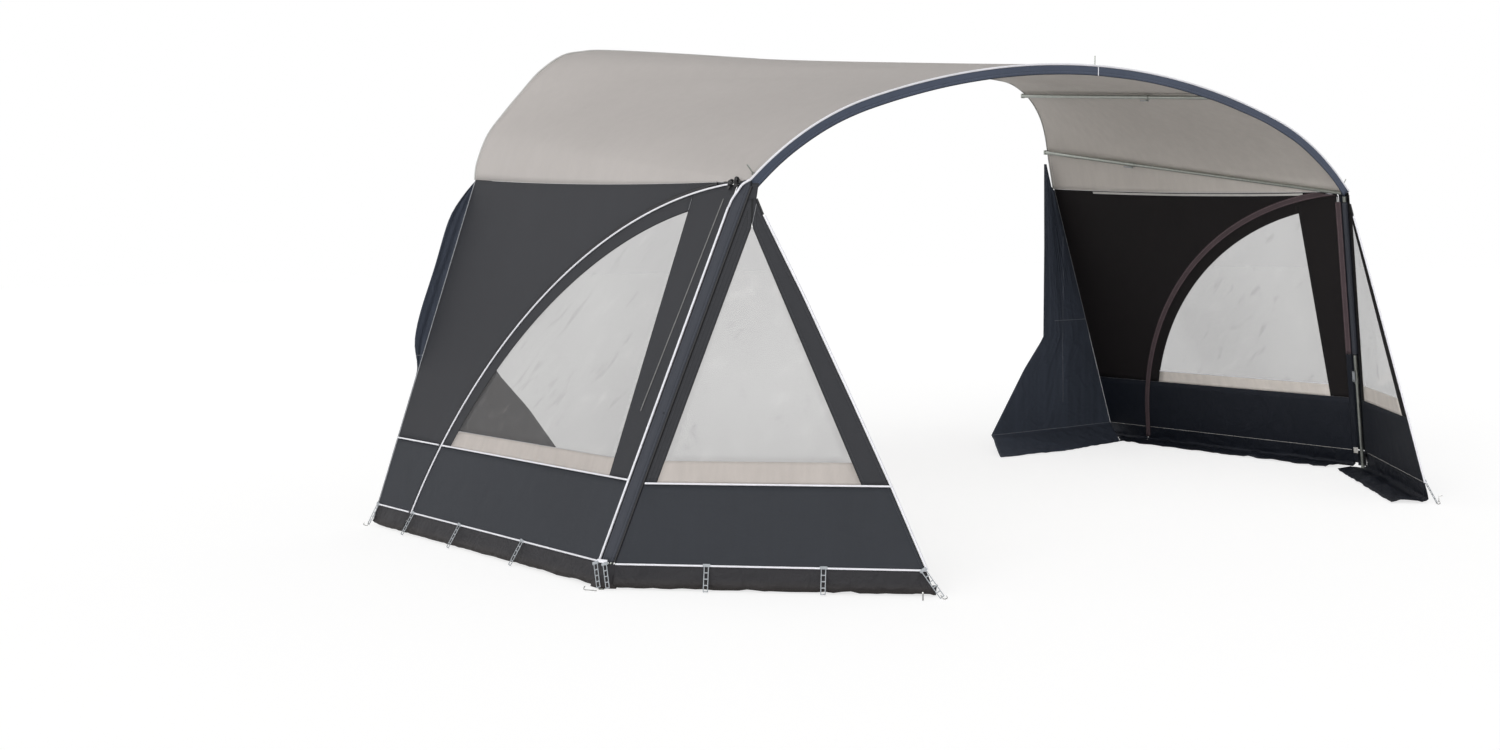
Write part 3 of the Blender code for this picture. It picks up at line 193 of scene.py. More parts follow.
# Trim
EDGE_ROW = 0.018
ROOF_EASE = 0.0055
SEAM_SAG = 0.02
SEAM_MEET = 0.0006
CORD_LIFT = 0.0052
CORD_PROUD = 0.0034
TOP_CORD_START = 1.6
TOP_CORD_INSET = 0.062
ROOF_SAG = 0.024
MID_ARCH_SHARE = 0.431
MID_RAIL_SHARES = {1: 0.725, -1: 0.74}
SEAM_RAIL_SHARE = 0.903
ROOF_KNOT_STEPS = (16, 16, 6)
ROOF_ROWS = 24
VALANCE_HEIGHT = 0.05
ARCH_END_TRIM = 0.004
ARCH_TUBE_Y = -2.348
CORNER_SPIKE_SHIFT = 0.045
LEG_INSET = 0.0165
SLEEVE_BOTTOM = 0.115
SLEEVE_TOP = 1.685
STRIP_GAP = 0.0086
ARC_CORD_END = 0.096
POCKET_BOTTOM = 0.73
POCKET_TOP = 1.65
POCKET_RADIUS = 0.0155
COVER_SHIFT = 0.0055
COVER_INSETS = (-0.012, 0.026)
COVER_BOTTOM = 0.046
COVER_FLARE = 0.009
CORNER_COVER_INSETS = (0.042, 0.08)
CAP_ROWS = 5
CAP_RISE = 0.024
CAP_PUSH = 0.011
GUSSET_TOP = 1.722
GUSSET_LIFT = -0.0022
FOOT_TAB_HEIGHTS = (0.092, 0.13)
FOOT_TAB_INSET = 0.04

# Cords, eyelets and toggles
KEDER_RADIUS = 0.005
BINDING_RADIUS = 0.0026
FINE_CORD_RADIUS = 0.0022
LAP_RADIUS = 0.0008
DOOR_TOP_RADIUS = 0.0032
WING_TOP_RADIUS = 0.0038
CORNER_CORD_RADIUS = 0.0042
CORD_ROUNDNESS = 3
FLAT_LIFT = 0.0012
WELD = 1e-5
SMOOTH_ANGLE = math.radians(50)
CRISP_ANGLE = math.radians(38)
EYELET = dict(major_segments=28, minor_segments=10, major_radius=0.0075, minor_radius=0.0022)
EYELET_LIFT = 0.0026
TOGGLE_RING = dict(major_segments=20, minor_segments=8, major_radius=0.011, minor_radius=0.004)
TOGGLE_BAR = (0.02, 0.034, 0.008)
PLATE = (0.05, 0.014, 0.007)

# Peg ladders
LADDER_WIDTH = 0.022
LADDER_RAIL = 0.004
LADDER_RUNG = 0.0045
LADDER_PITCH = 0.0245
LADDER_THICKNESS = 0.003
LADDER_STAND = 0.008
LADDER_LEAN = 0.024
LADDER_SLANT = 0.022
PEG_WIRE = 0.0021
PEG_LIFT = 0.0028
PEG_STEPS = 6
CLIP_EXTRA = 0.009
CLIP_HEIGHT = 0.013
CLIP_DEPTH = 0.0065
LADDER_ROUND = 0.0007

# Looks of the outer and the inner face
WALL_LOOKS = ("wall outside", "wall inside")
SKIRT_LOOKS = ("skirt outside", "flap outside", "skirt inside", "flap inside")
FOIL_LOOKS = ("window foil", "window foil")
# The inner look of the window strip is its colour painted lighter to offset the shade inside.
STRIP_LOOKS = ("window strip", "window strip inside")
WEBBING_LOOKS = ("pale webbing", "pale webbing")
NAVY_LOOKS = ("navy cloth", "navy cloth")
DRAUGHT_LOOKS = ("draught cloth", "draught cloth")
COVER_LOOKS = ("zip cover", "zip cover")
FLAP_LOOKS = ("flap outside", "flap inside")
POCKET_LOOKS = ("corner cloth", "corner cloth")

# Studio
FLOOR_SIZE = 120
FLOOR_DROP = 0.001
FLOOR_SHADE = 0.97
FLOOR_GLOW_SHARE = 0.56
FLOOR_GLOW = 1.29
LIGHT_TINT = (1, 0.995, 0.985, 1)
SUN_FROM = (-0.8, -0.46, 0.34)
SUN_SPREAD = math.radians(55)
CLIP_END = 400

# The photograph's camera
LENS = 38.85
SENSOR = 36
CAMERA_PLACE = (-6.304, -6.303, 1.450)
CAMERA_PITCH = math.radians(4.687)
CAMERA_YAW = math.radians(-36.743)
CAMERA_ROLL = math.radians(-0.629)


def linear(*values):
    """A colour of the photograph, 0 to 255, as scene-linear values."""
    shares = [value / 255 for value in values]
    return [s / 12.92 if s <= 0.04045 else ((s + 0.055) / 1.055) ** 2.4 for s in shares]


class AwningSizes(bpy.types.PropertyGroup):
    """Sizes of the cloth and its trim."""

    def length(label, text, default, low, high):
        return bpy.props.FloatProperty(
            name=label, description=text, default=default, min=low, max=high, unit="LENGTH"
        )

    cloth: length("Cloth", "Thickness of the coated cloth", 0.0012, 0.0004, 0.003)
    foil: length("Foil", "Thickness of the window foil", 0.0008, 0.0003, 0.002)
    piping: length("Piping", "Radius of the white piping", 0.0052, 0.002, 0.0055)
    thin_piping: length("Thin piping", "Radius of the piping on the seams", 0.0043, 0.002, 0.0045)
    hem: length("Hem", "Width of a turned hem", 0.018, 0.008, 0.04)
    weave: length("Weave", "Pitch of the weave", 0.0018, 0.0008, 0.006)
    slack: length("Slack", "How far the stretched cloth bows", 0.0035, 0, 0.008)


class AwningColours(bpy.types.PropertyGroup):
    """Colours of the cloth and its trim."""

    def shade(label, text, colour):
        return bpy.props.FloatVectorProperty(
            name=label,
            description=text,
            default=linear(*colour),
            size=3,
            min=0,
            max=1,
            subtype="COLOR",
        )

    roof: shade("Roof", "Outer face of the roof", (182, 177, 174))
    lining: shade("Roof lining", "Inner face of the roof", (207, 201, 195))
    wall: shade("Wall", "Outer face of walls and doors", (47, 48, 52))
    wall_inner: shade("Wall inside", "Inner face of walls and doors", (27, 24, 25))
    skirt: shade("Skirt", "Outer face of the skirts", (42, 45, 51))
    skirt_inner: shade("Skirt inside", "Inner face of the skirts", (25, 29, 38))
    flap: shade("Mud flap", "Mud flaps on the ground", (33, 32, 36))
    navy: shade("Valance", "Blue-grey band along the arch", (72, 80, 97))
    corner: shade("Corner strip", "Strips and pockets over the uprights", (57, 60, 68))
    draught: shade("Draught panel", "Draught panels at the rail", (62, 68, 80))
    piping: shade("Piping", "White piping", (236, 236, 242))
    zip_cover: shade("Zip cover", "Cover tape inside the zip", (74, 60, 64))
    strip: shade("Window strip", "Pale strip below the windows", (186, 179, 174))
    # Painted light: the strip's inner face is a lighter copy of its outer colour, to brighten it where it
    # lies in shade inside.
    strip_inner: shade("Window strip inside", "Inner face of the pale strip", (226, 219, 212))


class AwningStage(bpy.types.PropertyGroup):
    """Light and camera."""

    sky: bpy.props.FloatProperty(
        name="Sky", description="Strength of the even light", default=0.95, min=0, max=2
    )
    overhead: bpy.props.FloatProperty(
        name="Overhead",
        description="Share of the even light that comes from straight above",
        default=0.22,
        min=0,
        max=1,
    )
    key: bpy.props.FloatProperty(
        name="Key", description="Strength of the soft main lamp", default=1.9, min=0, max=10
    )
    lens: bpy.props.FloatProperty(
        name="Lens", description="Focal length of the camera", default=LENS, min=10, max=200, unit="CAMERA"
    )


# Materials


class Look:
    """Builds the node tree of one material."""

    def __init__(self, name, **sockets):
        self.material = bpy.data.materials.new(name)
        self.material.use_nodes = True
        self.tree = self.material.node_tree
        self.shader = self.tree.nodes["Principled BSDF"]
        for socket, value in sockets.items():
            self.shader.inputs[socket.replace("_", " ")].default_value = value

    def node(self, kind, *inputs, output=0, **settings):
        made = self.tree.nodes.new("ShaderNode" + kind)
        for key, value in settings.items():
            setattr(made, key, value)
        for place, value in inputs:
            if isinstance(value, bpy.types.NodeSocket):
                self.tree.links.new(value, made.inputs[place])
            else:
                made.inputs[place].default_value = value
        return made.outputs[output]

    def math(self, operation, a, b=0.0):
        return self.node("Math", (0, a), (1, b), operation=operation)

    def span(self, value, low, high, start, end):
        return self.node("MapRange", (0, value), (1, low), (2, high), (3, start), (4, end))

    def noise(self, vector, scale, detail=3, roughness=0.55, distortion=0.0):
        return self.node(
            "TexNoise",
            ("Vector", vector),
            ("Scale", scale),
            ("Detail", detail),
            ("Roughness", roughness),
            ("Distortion", distortion),
        )

    def place(self, scale=(1, 1, 1)):
        """Object coordinates, stretched."""
        found = self.node("TexCoord", output=3)
        if scale == (1, 1, 1):
            return found
        return self.node("Mapping", ("Vector", found), ("Scale", scale))

    def pulse(self, value, centre, half):
        """One within half of the centre, else zero."""
        return self.math("LESS_THAN", self.math("ABSOLUTE", self.math("SUBTRACT", value, centre)), half)

    def dashes(self, along, pitch, share):
        """One on the stitches of a row and zero between them."""
        wave = self.math("SINE", self.math("MULTIPLY", along, math.tau / pitch))
        return self.math("GREATER_THAN", wave, share)

    def cloth_place(self, layer="Cloth"):
        """The two measures of a map of the cloth."""
        place = self.node("SeparateXYZ", (0, self.node("UVMap", uv_map=layer)))
        return place.node.outputs[0], place.node.outputs[1]

    def scaled(self, colour, factor):
        return self.node("VectorMath", (0, colour), (3, factor), operation="SCALE")

    def mixed(self, share, first, second):
        return self.node("Mix", (0, share), (6, first), (7, second), output=2, data_type="RGBA")

    def bump(self, *heights):
        """Stacks bumps, each (height, distance in metres)."""
        normal = None
        for height, distance in heights:
            inputs = [("Height", height), ("Distance", distance), ("Strength", 1.0)]
            if normal is not None:
                inputs.append(("Normal", normal))
            normal = self.node("Bump", *inputs)
        self.tree.links.new(normal, self.shader.inputs["Normal"])

    def colour(self, socket):
        self.tree.links.new(socket, self.shader.inputs["Base Color"])
        return self.material


def cloth_look(
    name,
    colour,
    sizes,
    variation=0.05,
    crease=0.004,
    crease_scale=5.0,
    streaks=0.03,
    thread=None,
    rim=1.0,
    soil=None,
    seams=False,
    **sockets,
):
    """Coated woven cloth with stitched hems. Its Seam map runs along an edge and in from it. Along hemmed
    edges it darkens a narrow band, partly for flange tape and partly as painted shade, and paints shade
    into the fold of each hem; its streaks are partly the cloth's own and partly painted shade of folds.
    """
    look = Look(name, **{"Roughness": 0.72, "Specular_IOR_Level": 0.35, **sockets})
    place = look.place()
    across, down = look.cloth_place()
    along, inset = look.cloth_place("Seam")
    turn = math.tau / sizes.weave
    warp = look.math("SINE", look.math("MULTIPLY", across, turn))
    weft = look.math("SINE", look.math("MULTIPLY", down, turn))
    weave = look.math("MULTIPLY", warp, weft)
    blotch = look.span(look.noise(place, 1.7, 4), 0.3, 0.7, 1 - variation, 1 + variation)
    grain = look.span(look.noise(place, 140, 2), 0.25, 0.75, 1 - variation / 2, 1 + variation / 2)
    # Vertical streaks: on most cloths the cloth's own faint streaking, on the draught panels and window
    # strips painted shade standing for their vertical folds.
    streak_and_fold_shade = look.span(look.noise(look.place((22, 22, 0.8)), 1, 3), 0.3, 0.7, 1 - streaks, 1 + streaks)
    shade = look.math("MULTIPLY", look.math("MULTIPLY", blotch, grain), streak_and_fold_shade)
    # Painted shade: a darker line along the fold of each turned hem, where its crease is shaded.
    fold = look.pulse(inset, sizes.hem, 0.0012)
    shade = look.math("MULTIPLY", shade, look.span(fold, 0, 1, 1, 0.82))
    # Darker band within 6 mm of a hemmed edge: partly the dark tape of the sewn flange, partly painted
    # shade beside the proud piping and along the turned edges of the corner sleeves.
    shade = look.math("MULTIPLY", shade, look.span(inset, 0.0035, 0.006, rim, 1))
    stitch_line = look.pulse(inset, sizes.hem - 0.004, 0.0007)
    stitch = look.math("MULTIPLY", stitch_line, look.dashes(along, 0.008, -0.2))
    if seams:
        stitch = look.math("MAXIMUM", stitch, draught_seams(look))
    thread = thread or [min(1, value * 2.2 + 0.02) for value in colour]
    base = look.scaled([*colour], shade)
    if soil:
        height = look.node("SeparateXYZ", (0, place)).node.outputs[2]
        base = look.mixed(look.span(height, 0.01, 0.055, 0.75, 0), base, [*soil, 1])
    whole = look.mixed(look.math("MULTIPLY", stitch, 0.8), base, [*thread, 1])
    pucker = look.math("SINE", look.math("MULTIPLY", along, math.tau / 0.021))
    puckers = look.math("MULTIPLY", pucker, look.span(inset, 0, 0.03, 1, 0))
    look.bump(
        (look.noise(place, crease_scale, 3, 0.5, 0.7), crease),
        (puckers, 0.0006),
        (weave, 0.00018),
        (look.math("SUBTRACT", look.math("MULTIPLY", stitch, 1.0), fold), 0.0006),
    )
    return look.colour(whole)


def draught_seams(look):
    """Rows of stitches down and across the draught panels and along their hem, by place on the object."""
    place = look.node("SeparateXYZ", (0, look.place()))
    across = look.math("ABSOLUTE", place.node.outputs[0])
    height = place.node.outputs[2]
    row = look.pulse(across, RETURN_SEAM_X, 0.0017)
    down = look.math("MULTIPLY", row, look.dashes(height, 0.011, -0.3))
    down = look.math("MULTIPLY", down, look.pulse(height, 0.88, 0.59))
    outer = look.math("GREATER_THAN", across, 2.25)
    wide = look.math("MULTIPLY", look.pulse(height, RETURN_SEAM_Z, 0.0018), outer)
    hem = look.pulse(height, RETURN_HEM, 0.0013)
    level = look.math("MULTIPLY", look.math("MAXIMUM", wide, hem), look.dashes(across, 0.011, -0.3))
    return look.math("MAXIMUM", down, level)


def metal_look(name, colour, roughness, blotch_scale=38.0):
    """Galvanised or plated steel with spangle and rubbed marks."""
    look = Look(name, Metallic=1.0)
    place = look.place()
    spangle = look.node("TexVoronoi", ("Vector", place), ("Scale", blotch_scale * 4), output=0)
    blotch = look.noise(place, blotch_scale, 4, 0.6)
    bright = look.span(spangle, 0, 0.6, 0.93, 1.05)
    shade = look.math("MULTIPLY", bright, look.span(blotch, 0.3, 0.7, 0.86, 1.1))
    rough = look.span(look.noise(place, blotch_scale / 2, 3), 0.3, 0.7, roughness - 0.08, roughness + 0.12)
    look.tree.links.new(rough, look.shader.inputs["Roughness"])
    look.bump((blotch, 0.0002))
    return look.colour(look.scaled([*colour], shade))


def plastic_look(name, colour, roughness=0.5, grain=0.00012, grain_scale=420.0, **sockets):
    """Moulded plastic with a fine grain and a little dirt in random patches."""
    look = Look(name, Roughness=roughness, **sockets)
    place = look.place()
    dirt = look.span(look.noise(place, 16, 4, 0.6), 0.3, 0.75, 0.9, 1.04)
    speck = look.span(look.noise(place, 240, 2), 0.3, 0.7, 0.96, 1.03)
    look.bump((look.noise(place, grain_scale, 2), grain))
    return look.colour(look.scaled([*colour], look.math("MULTIPLY", dirt, speck)))


def zip_look(name, tape, coil):
    """Zip tape with its coil of teeth along the middle. The Cloth map runs across and along the tape."""
    look = Look(name, Roughness=0.6)
    across, along = look.cloth_place()
    teeth = look.dashes(along, 0.0032, 0)
    middle = look.pulse(across, 0, 0.0034)
    ribs = look.math("SINE", look.math("MULTIPLY", across, math.tau / 0.0022))
    coil_share = look.math("MULTIPLY", middle, look.span(teeth, 0, 1, 0.35, 1))
    worn = look.span(look.noise(look.place(), 30, 3), 0.3, 0.7, 0.85, 1.1)
    look.bump((look.math("MULTIPLY", teeth, middle), 0.0008), (ribs, 0.0001))
    return look.colour(look.scaled(look.mixed(coil_share, [*tape, 1], [*coil, 1]), worn))


def cover_look(name, colour):
    """Narrow cover tape with a row of stitches near each edge."""
    look = Look(name, Roughness=0.8)
    across, along = look.cloth_place()
    row = look.pulse(look.math("ABSOLUTE", across), 0.0125, 0.0013)
    stitch = look.math("MULTIPLY", row, look.dashes(along, 0.009, -0.3))
    shade = look.span(look.noise(look.place(), 9, 4), 0.3, 0.7, 0.86, 1.12)
    light = [min(1, value * 2.6 + 0.05) for value in colour]
    look.bump((look.noise(look.place(), 45, 3), 0.002), (stitch, 0.0006))
    ground = look.scaled([*colour], shade)
    return look.colour(look.mixed(look.math("MULTIPLY", stitch, 0.7), ground, [*light, 1]))


def foil_look(name):
    """Clear window foil with a faint haze, soft waves and thin slanting creases, with painted glints on the
    creases' crests and painted shade in their hollows.
    """
    look = Look(name, Roughness=0.1, Specular_IOR_Level=0.4, Alpha=0.34)
    place = look.place()
    haze = look.noise(place, 0.9, 2, 0.4, 0.5)
    turned = look.node("Mapping", ("Vector", place), ("Rotation", (-0.7, 0, 0)))
    drawn = look.node("Mapping", ("Vector", turned), ("Scale", (15, 15, 1.5)))
    creases = look.noise(drawn, 1.0, 3, 0.5, 0.4)
    # Painted highlight: the foil is made lighter along the crests of the creases.
    bright = look.span(creases, 0.58, 0.76, 0, 1)
    # Painted shade: the foil is made more opaque, so darker, in the hollows of the creases.
    painted_crease_shade = look.span(creases, 0.4, 0.26, 0, 1)
    veil = look.span(haze, 0.3, 0.7, 0.29, 0.35)
    alpha = look.math("ADD", veil, look.math("MULTIPLY", painted_crease_shade, 0.05))
    look.tree.links.new(alpha, look.shader.inputs["Alpha"])
    look.bump((look.noise(place, 1.3, 1, 0.3, 0.6), 0.004), (creases, 0.002))
    # The painted glints lighten the foil's colour up to 1.7 times.
    return look.colour(look.scaled(linear(112, 110, 109), look.span(bright, 0, 1, 1, 1.7)))


def make_looks(context):
    sizes = context.scene.awning_sizes
    shades = context.scene.awning_colours
    # The window strips' strong streaks are painted shade of their vertical folds.
    ribbed = dict(crease=0.005, crease_scale=9, streaks=0.05, variation=0.03)
    # rim sets how dark the band along hemmed edges is: partly flange tape, partly painted shade.
    cloths = {
        "roof outside": (
            shades.roof,
            dict(variation=0.02, crease=0.003, crease_scale=2.2, streaks=0.015),
        ),
        "roof inside": (shades.lining, dict(variation=0.03, crease=0.004, crease_scale=2.6)),
        "wall outside": (shades.wall, dict(crease=0.003, crease_scale=3, rim=0.4)),
        "wall inside": (shades.wall_inner, dict(crease=0.004, Specular_IOR_Level=0.2)),
        "skirt outside": (
            shades.skirt,
            dict(crease=0.006, crease_scale=6, Roughness=0.65, rim=0.4),
        ),
        "skirt inside": (
            shades.skirt_inner,
            dict(crease=0.008, crease_scale=7, Roughness=0.55, Specular_IOR_Level=0.25),
        ),
        "flap outside": (
            shades.flap,
            dict(crease=0.02, crease_scale=8, variation=0.1, Roughness=0.5, soil=linear(50, 45, 42)),
        ),
        "flap inside": (
            shades.skirt_inner,
            dict(crease=0.02, crease_scale=8, variation=0.14, Roughness=0.45),
        ),
        "navy cloth": (shades.navy, dict(crease=0.004, crease_scale=6, rim=0.5)),
        # The strong streaks here are painted shade of the gathered folds.
        "draught cloth": (
            shades.draught,
            dict(
                crease=0.016,
                crease_scale=5,
                streaks=0.12,
                thread=linear(158, 162, 170),
                seams=True,
                Specular_IOR_Level=0.25,
            ),
        ),
        "window strip": (shades.strip, ribbed),
        # Painted light: lighter copy of the strip cloth for its shaded inner face.
        "window strip inside": (shades.strip_inner, ribbed),
        "corner cloth": (shades.corner, dict(crease=0.004, crease_scale=6, rim=0.3)),
    }
    for name, (colour, settings) in cloths.items():
        cloth_look(name, [*colour], sizes, **settings)
    zip_look("zip coil", linear(20, 20, 22), linear(46, 45, 48))
    zip_look("side zip coil", linear(52, 52, 53), linear(140, 140, 140))
    cover_look("zip cover", [*shades.zip_cover])
    foil_look("window foil")
    plastic_look("white piping", [*shades.piping], 0.45)
    for name, colour, roughness in (
        ("dark piping", (24, 24, 27), 0.55),
        ("ladder plastic", (158, 163, 168), 0.42),
        ("edge binding", (150, 152, 156), 0.6),
        ("pale webbing", (206, 204, 200), 0.7),
        ("black plastic", (26, 26, 28), 0.45),
        ("keder", (206, 205, 202), 0.5),
    ):
        plastic_look(name, linear(*colour), roughness)
    for name, colour, roughness in (
        ("galvanised tube", (168, 172, 166), 0.36),
        ("plated steel", (178, 178, 176), 0.3),
        ("eyelet brass", (150, 150, 146), 0.34),
    ):
        metal_look(name, linear(*colour), roughness)


def look_of(name):
    return bpy.data.materials[name]


# Shape of the awning, as the frame was built


SHIFT = Vector((0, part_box("rail_keder")[1].y - 0.005, 0))
CROWN_ANGLE = math.asin(CROWN_HALF_WIDTH / CROWN_RADIUS)
CROWN_DROP = CROWN_RADIUS * (1 - math.cos(CROWN_ANGLE))
HAUNCH_WIDTH = ARCH_HALF_WIDTH - CROWN_HALF_WIDTH
END_ANGLE = 2 * math.atan((ARCH_RISE - CROWN_DROP) / HAUNCH_WIDTH) - CROWN_ANGLE
HAUNCH_RADIUS = HAUNCH_WIDTH / (math.sin(END_ANGLE) - math.sin(CROWN_ANGLE))
CROWN_LENGTH = CROWN_RADIUS * CROWN_ANGLE
ARCH_LENGTH = CROWN_LENGTH + HAUNCH_RADIUS * (END_ANGLE - CROWN_ANGLE)


def arch_slope(length):
    if abs(length) <= CROWN_LENGTH:
        return abs(length) / CROWN_RADIUS
    return CROWN_ANGLE + (abs(length) - CROWN_LENGTH) / HAUNCH_RADIUS


def arch_at(length, inset=0, y=ARCH_Y):
    """The point of the arch at a length from its middle, negative to the left, moved inside."""
    slope = arch_slope(length)
    if abs(length) <= CROWN_LENGTH:
        x = CROWN_RADIUS * math.sin(slope)
        drop = CROWN_RADIUS * (1 - math.cos(slope))
    else:
        x = CROWN_HALF_WIDTH + HAUNCH_RADIUS * (math.sin(slope) - math.sin(CROWN_ANGLE))
        drop = CROWN_DROP + HAUNCH_RADIUS * (math.cos(CROWN_ANGLE) - math.cos(slope))
    side = math.copysign(1, length)
    x -= inset * math.sin(slope)
    return Vector((side * x, y, APEX_HEIGHT - drop - inset * math.cos(slope))) + SHIFT


def arch_out(length):
    """The direction out of the arch at a length."""
    slope = arch_slope(length)
    return Vector((math.copysign(math.sin(slope), length), 0, math.cos(slope)))


def steps(start, end, count):
    return [start + (end - start) * j / count for j in range(count + 1)]


def smooth(points, count=CURVE_STEPS):
    """A Catmull-Rom curve through the points."""
    ends = [points[0], *points, points[-1]]
    curve = []
    for p, q, r, s in zip(ends, ends[1:], ends[2:], ends[3:]):
        for j in range(count):
            t = j / count
            square = (p * 2 - q * 5 + r * 4 - s) * (t * t / 2)
            cube = (q * 3 - p - r * 3 + s) * (t**3 / 2)
            curve.append(q + (r - p) * (t / 2) + (square + cube))
    return curve + [points[-1]]


RAIL = {
    side: smooth([Vector(point) for point in points]) for side, points in RAIL_CURVE.items()
}


def along(points, share):
    """The point at a share of the length of a line of points, and the direction there."""
    lengths = [(q - p).length for p, q in zip(points, points[1:])]
    left = share * sum(lengths)
    for p, q, length in zip(points, points[1:], lengths):
        if left <= length and length:
            return p.lerp(q, left / length), (q - p).normalized()
        left -= length
    return points[-1].copy(), (points[-1] - points[-2]).normalized()


def resample(points, count):
    points = [Vector(point) for point in points]
    return [along(points, j / count)[0] for j in range(count + 1)]


def rail_at(side, share, y=0):
    """The point of the rail at a share of the line from its middle to one side."""
    point, _ = along(RAIL[side], share)
    return Vector((side * point.x, y, point.y)) + SHIFT


class Plane:
    """A flat cloth plane: a runs ahead on the ground, h runs up the slope, out points outside."""

    def __init__(self, foot, ahead, top, side):
        placed = [Vector((side * x, y, z)) + SHIFT for x, y, z in (foot, ahead, top)]
        self.foot = placed[0]
        self.ahead = (placed[1] - self.foot).normalized()
        rise = placed[2] - self.foot
        self.up = (rise - self.ahead * rise.dot(self.ahead)).normalized()
        self.out = self.up.cross(self.ahead) * side

    def at(self, a, h, out=0):
        return self.foot + self.ahead * a + self.up * h + self.out * out

    def ground(self, a, inward, z):
        level = Vector((self.out.x, self.out.y, 0)).normalized()
        point = self.foot + self.ahead * a - level * inward
        return Vector((point.x, point.y, z))

    def height(self, z):
        return z / self.up.z


def edge_at(ends, h, inset=0):
    """A straight edge's point in its plane at a height, moved ahead by an inset square to the edge."""
    (foot, _), (top, height) = ends
    slope = (top - foot) / height
    return Vector((foot + slope * h + inset * math.hypot(1, slope), h))


def line_at(points, h):
    """The distance ahead of a falling line of (a, h) points at a height."""
    for (a, b), (c, d) in zip(points, points[1:]):
        if d <= h <= b:
            return a + (c - a) * (b - h) / (b - d)
    return points[-1][0] if h < points[-1][1] else points[0][0]


def zip_at(radius, turn):
    """The point of a circle about the zip's centre at a turn from the level."""
    a, h = ZIP_CENTRE
    return Vector((a - radius * math.cos(turn), h + radius * math.sin(turn)))


def zip_turn(radius, h):
    return math.asin((h - ZIP_CENTRE[1]) / radius)


def zip_point(radius, h):
    """The point of a circle about the zip's centre at a height."""
    return zip_at(radius, zip_turn(radius, h))


def zip_arc(radius, start, end, count):
    return [zip_at(radius, turn) for turn in steps(start, end, count)]


def crossing(radius, limit):
    """The turn at which the zip's circle rises to a limit given as a function of (a, h)."""
    low, high = 0, math.pi / 2
    for _ in range(50):
        middle = (low + high) / 2
        if limit(*zip_at(radius, middle)) > 0:
            high = middle
        else:
            low = middle
    return low


def seam_height(a):
    (start, low), (end, high) = WALL_SEAM
    share = (a - start) / (end - start)
    return low + (high - low) * share - SEAM_SAG * 4 * share * (1 - share)


def seam_turn(radius):
    """The turn at which a circle about the zip's centre meets the side seam."""
    return crossing(radius, lambda a, h: h - seam_height(a) + SEAM_EASE)


def rear_edge(h):
    (start, height), _ = WALL_SEAM
    return WALL_REAR_MARGIN + start * h / height


class Corner:
    """Both cloth planes of a side and the upright inside their meeting line."""

    def __init__(self, side):
        self.side = side
        self.wall = Plane(REAR_FOOT, CORNER_FOOT, CORNER_TOP, side)
        self.wing = Plane(CORNER_FOOT, WING_TIP, CORNER_TOP, side)
        foot, top = (Vector((side * x, y, z)) + SHIFT for x, y, z in (CORNER_FOOT, CORNER_TOP))
        self.foot = foot
        self.line = (top - foot).normalized()
        back = self.line * self.wall.ahead.dot(self.line) - self.wall.ahead
        front = self.wing.ahead - self.line * self.wing.ahead.dot(self.line)
        self.inward = (back.normalized() + front.normalized()).normalized()
        self.shift = self.inward * (LEG_INSET / math.sin(back.angle(front) / 2))

    def leg_at(self, z):
        start = self.foot + self.shift
        return start + self.line * ((z - start.z) / self.line.z)

    def wall_edge(self, z, inset, out=0):
        return self.wall.at(*edge_at(WALL_CORNER, self.wall.height(z), -inset), out)

    def wing_edge(self, z, inset, out=0):
        return self.wing.at(*edge_at(WING_CORNER, self.wing.height(z), inset), out)


CORNERS = {word: Corner(side) for word, side in SIDES.items()}


# Cloth making


def spread(length, count):
    """Shares across a width, with close rows at both edges for the hems."""
    near = min(EDGE_ROW / max(length, 1e-6), 0.2)
    inner = [near + (1 - 2 * near) * j / count for j in range(1, count)]
    return [0, near / 3, near, *inner, 1 - near, 1 - near / 3, 1]


def rows_between(first, second, shares):
    """Rows of points from each point of one line to its partner on the other."""
    return [[p.lerp(q, share) for share in shares] for p, q in zip(first, second)]


def distances(points):
    total = [0.0]
    for p, q in zip(points, points[1:]):
        total.append(total[-1] + (q - p).length)
    return total


def flat_map(rows):
    """Flat places of the points of a strip of cloth: across from its middle line, and down it."""
    middle = len(rows[0]) // 2
    down = distances([row[middle] for row in rows])
    places = []
    for row, v in zip(rows, down):
        across = distances(row)
        places.append([(u - across[-1] / 2, v) for u in across])
    return places


def zip_map(rows):
    """Flat places of a strip that follows the zip: across from its middle circle, and along that circle."""
    sizes = [(point - Vector(ZIP_CENTRE)).length for row in rows for point in row]
    middle = (min(sizes) + max(sizes)) / 2
    places = []
    for row in rows:
        line = []
        for a, h in row:
            turn = math.atan2(h - ZIP_CENTRE[1], ZIP_CENTRE[0] - a)
            line.append((math.hypot(a - ZIP_CENTRE[0], h - ZIP_CENTRE[1]) - middle, turn * middle))
        places.append(line)
    return places


def seam_map(rows, hems):
    """For each point, how far along and in from the nearest hemmed edge it lies."""
    last_row, last_column = len(rows) - 1, len(rows[0]) - 1
    lines = {
        "start": [rows[0][i] for i in range(last_column + 1)],
        "end": [rows[last_row][i] for i in range(last_column + 1)],
        "first": [row[0] for row in rows],
        "last": [row[-1] for row in rows],
    }
    lengths = {name: distances(line) for name, line in lines.items()}
    places = []
    for j, row in enumerate(rows):
        line = []
        for i, point in enumerate(row):
            best = (0.0, 9.0)
            for hem in hems:
                k = i if hem in ("start", "end") else j
                inset = (point - lines[hem][k]).length
                if inset < best[1]:
                    best = (lengths[hem][k], inset)
            line.append(best)
        places.append(line)
    return places


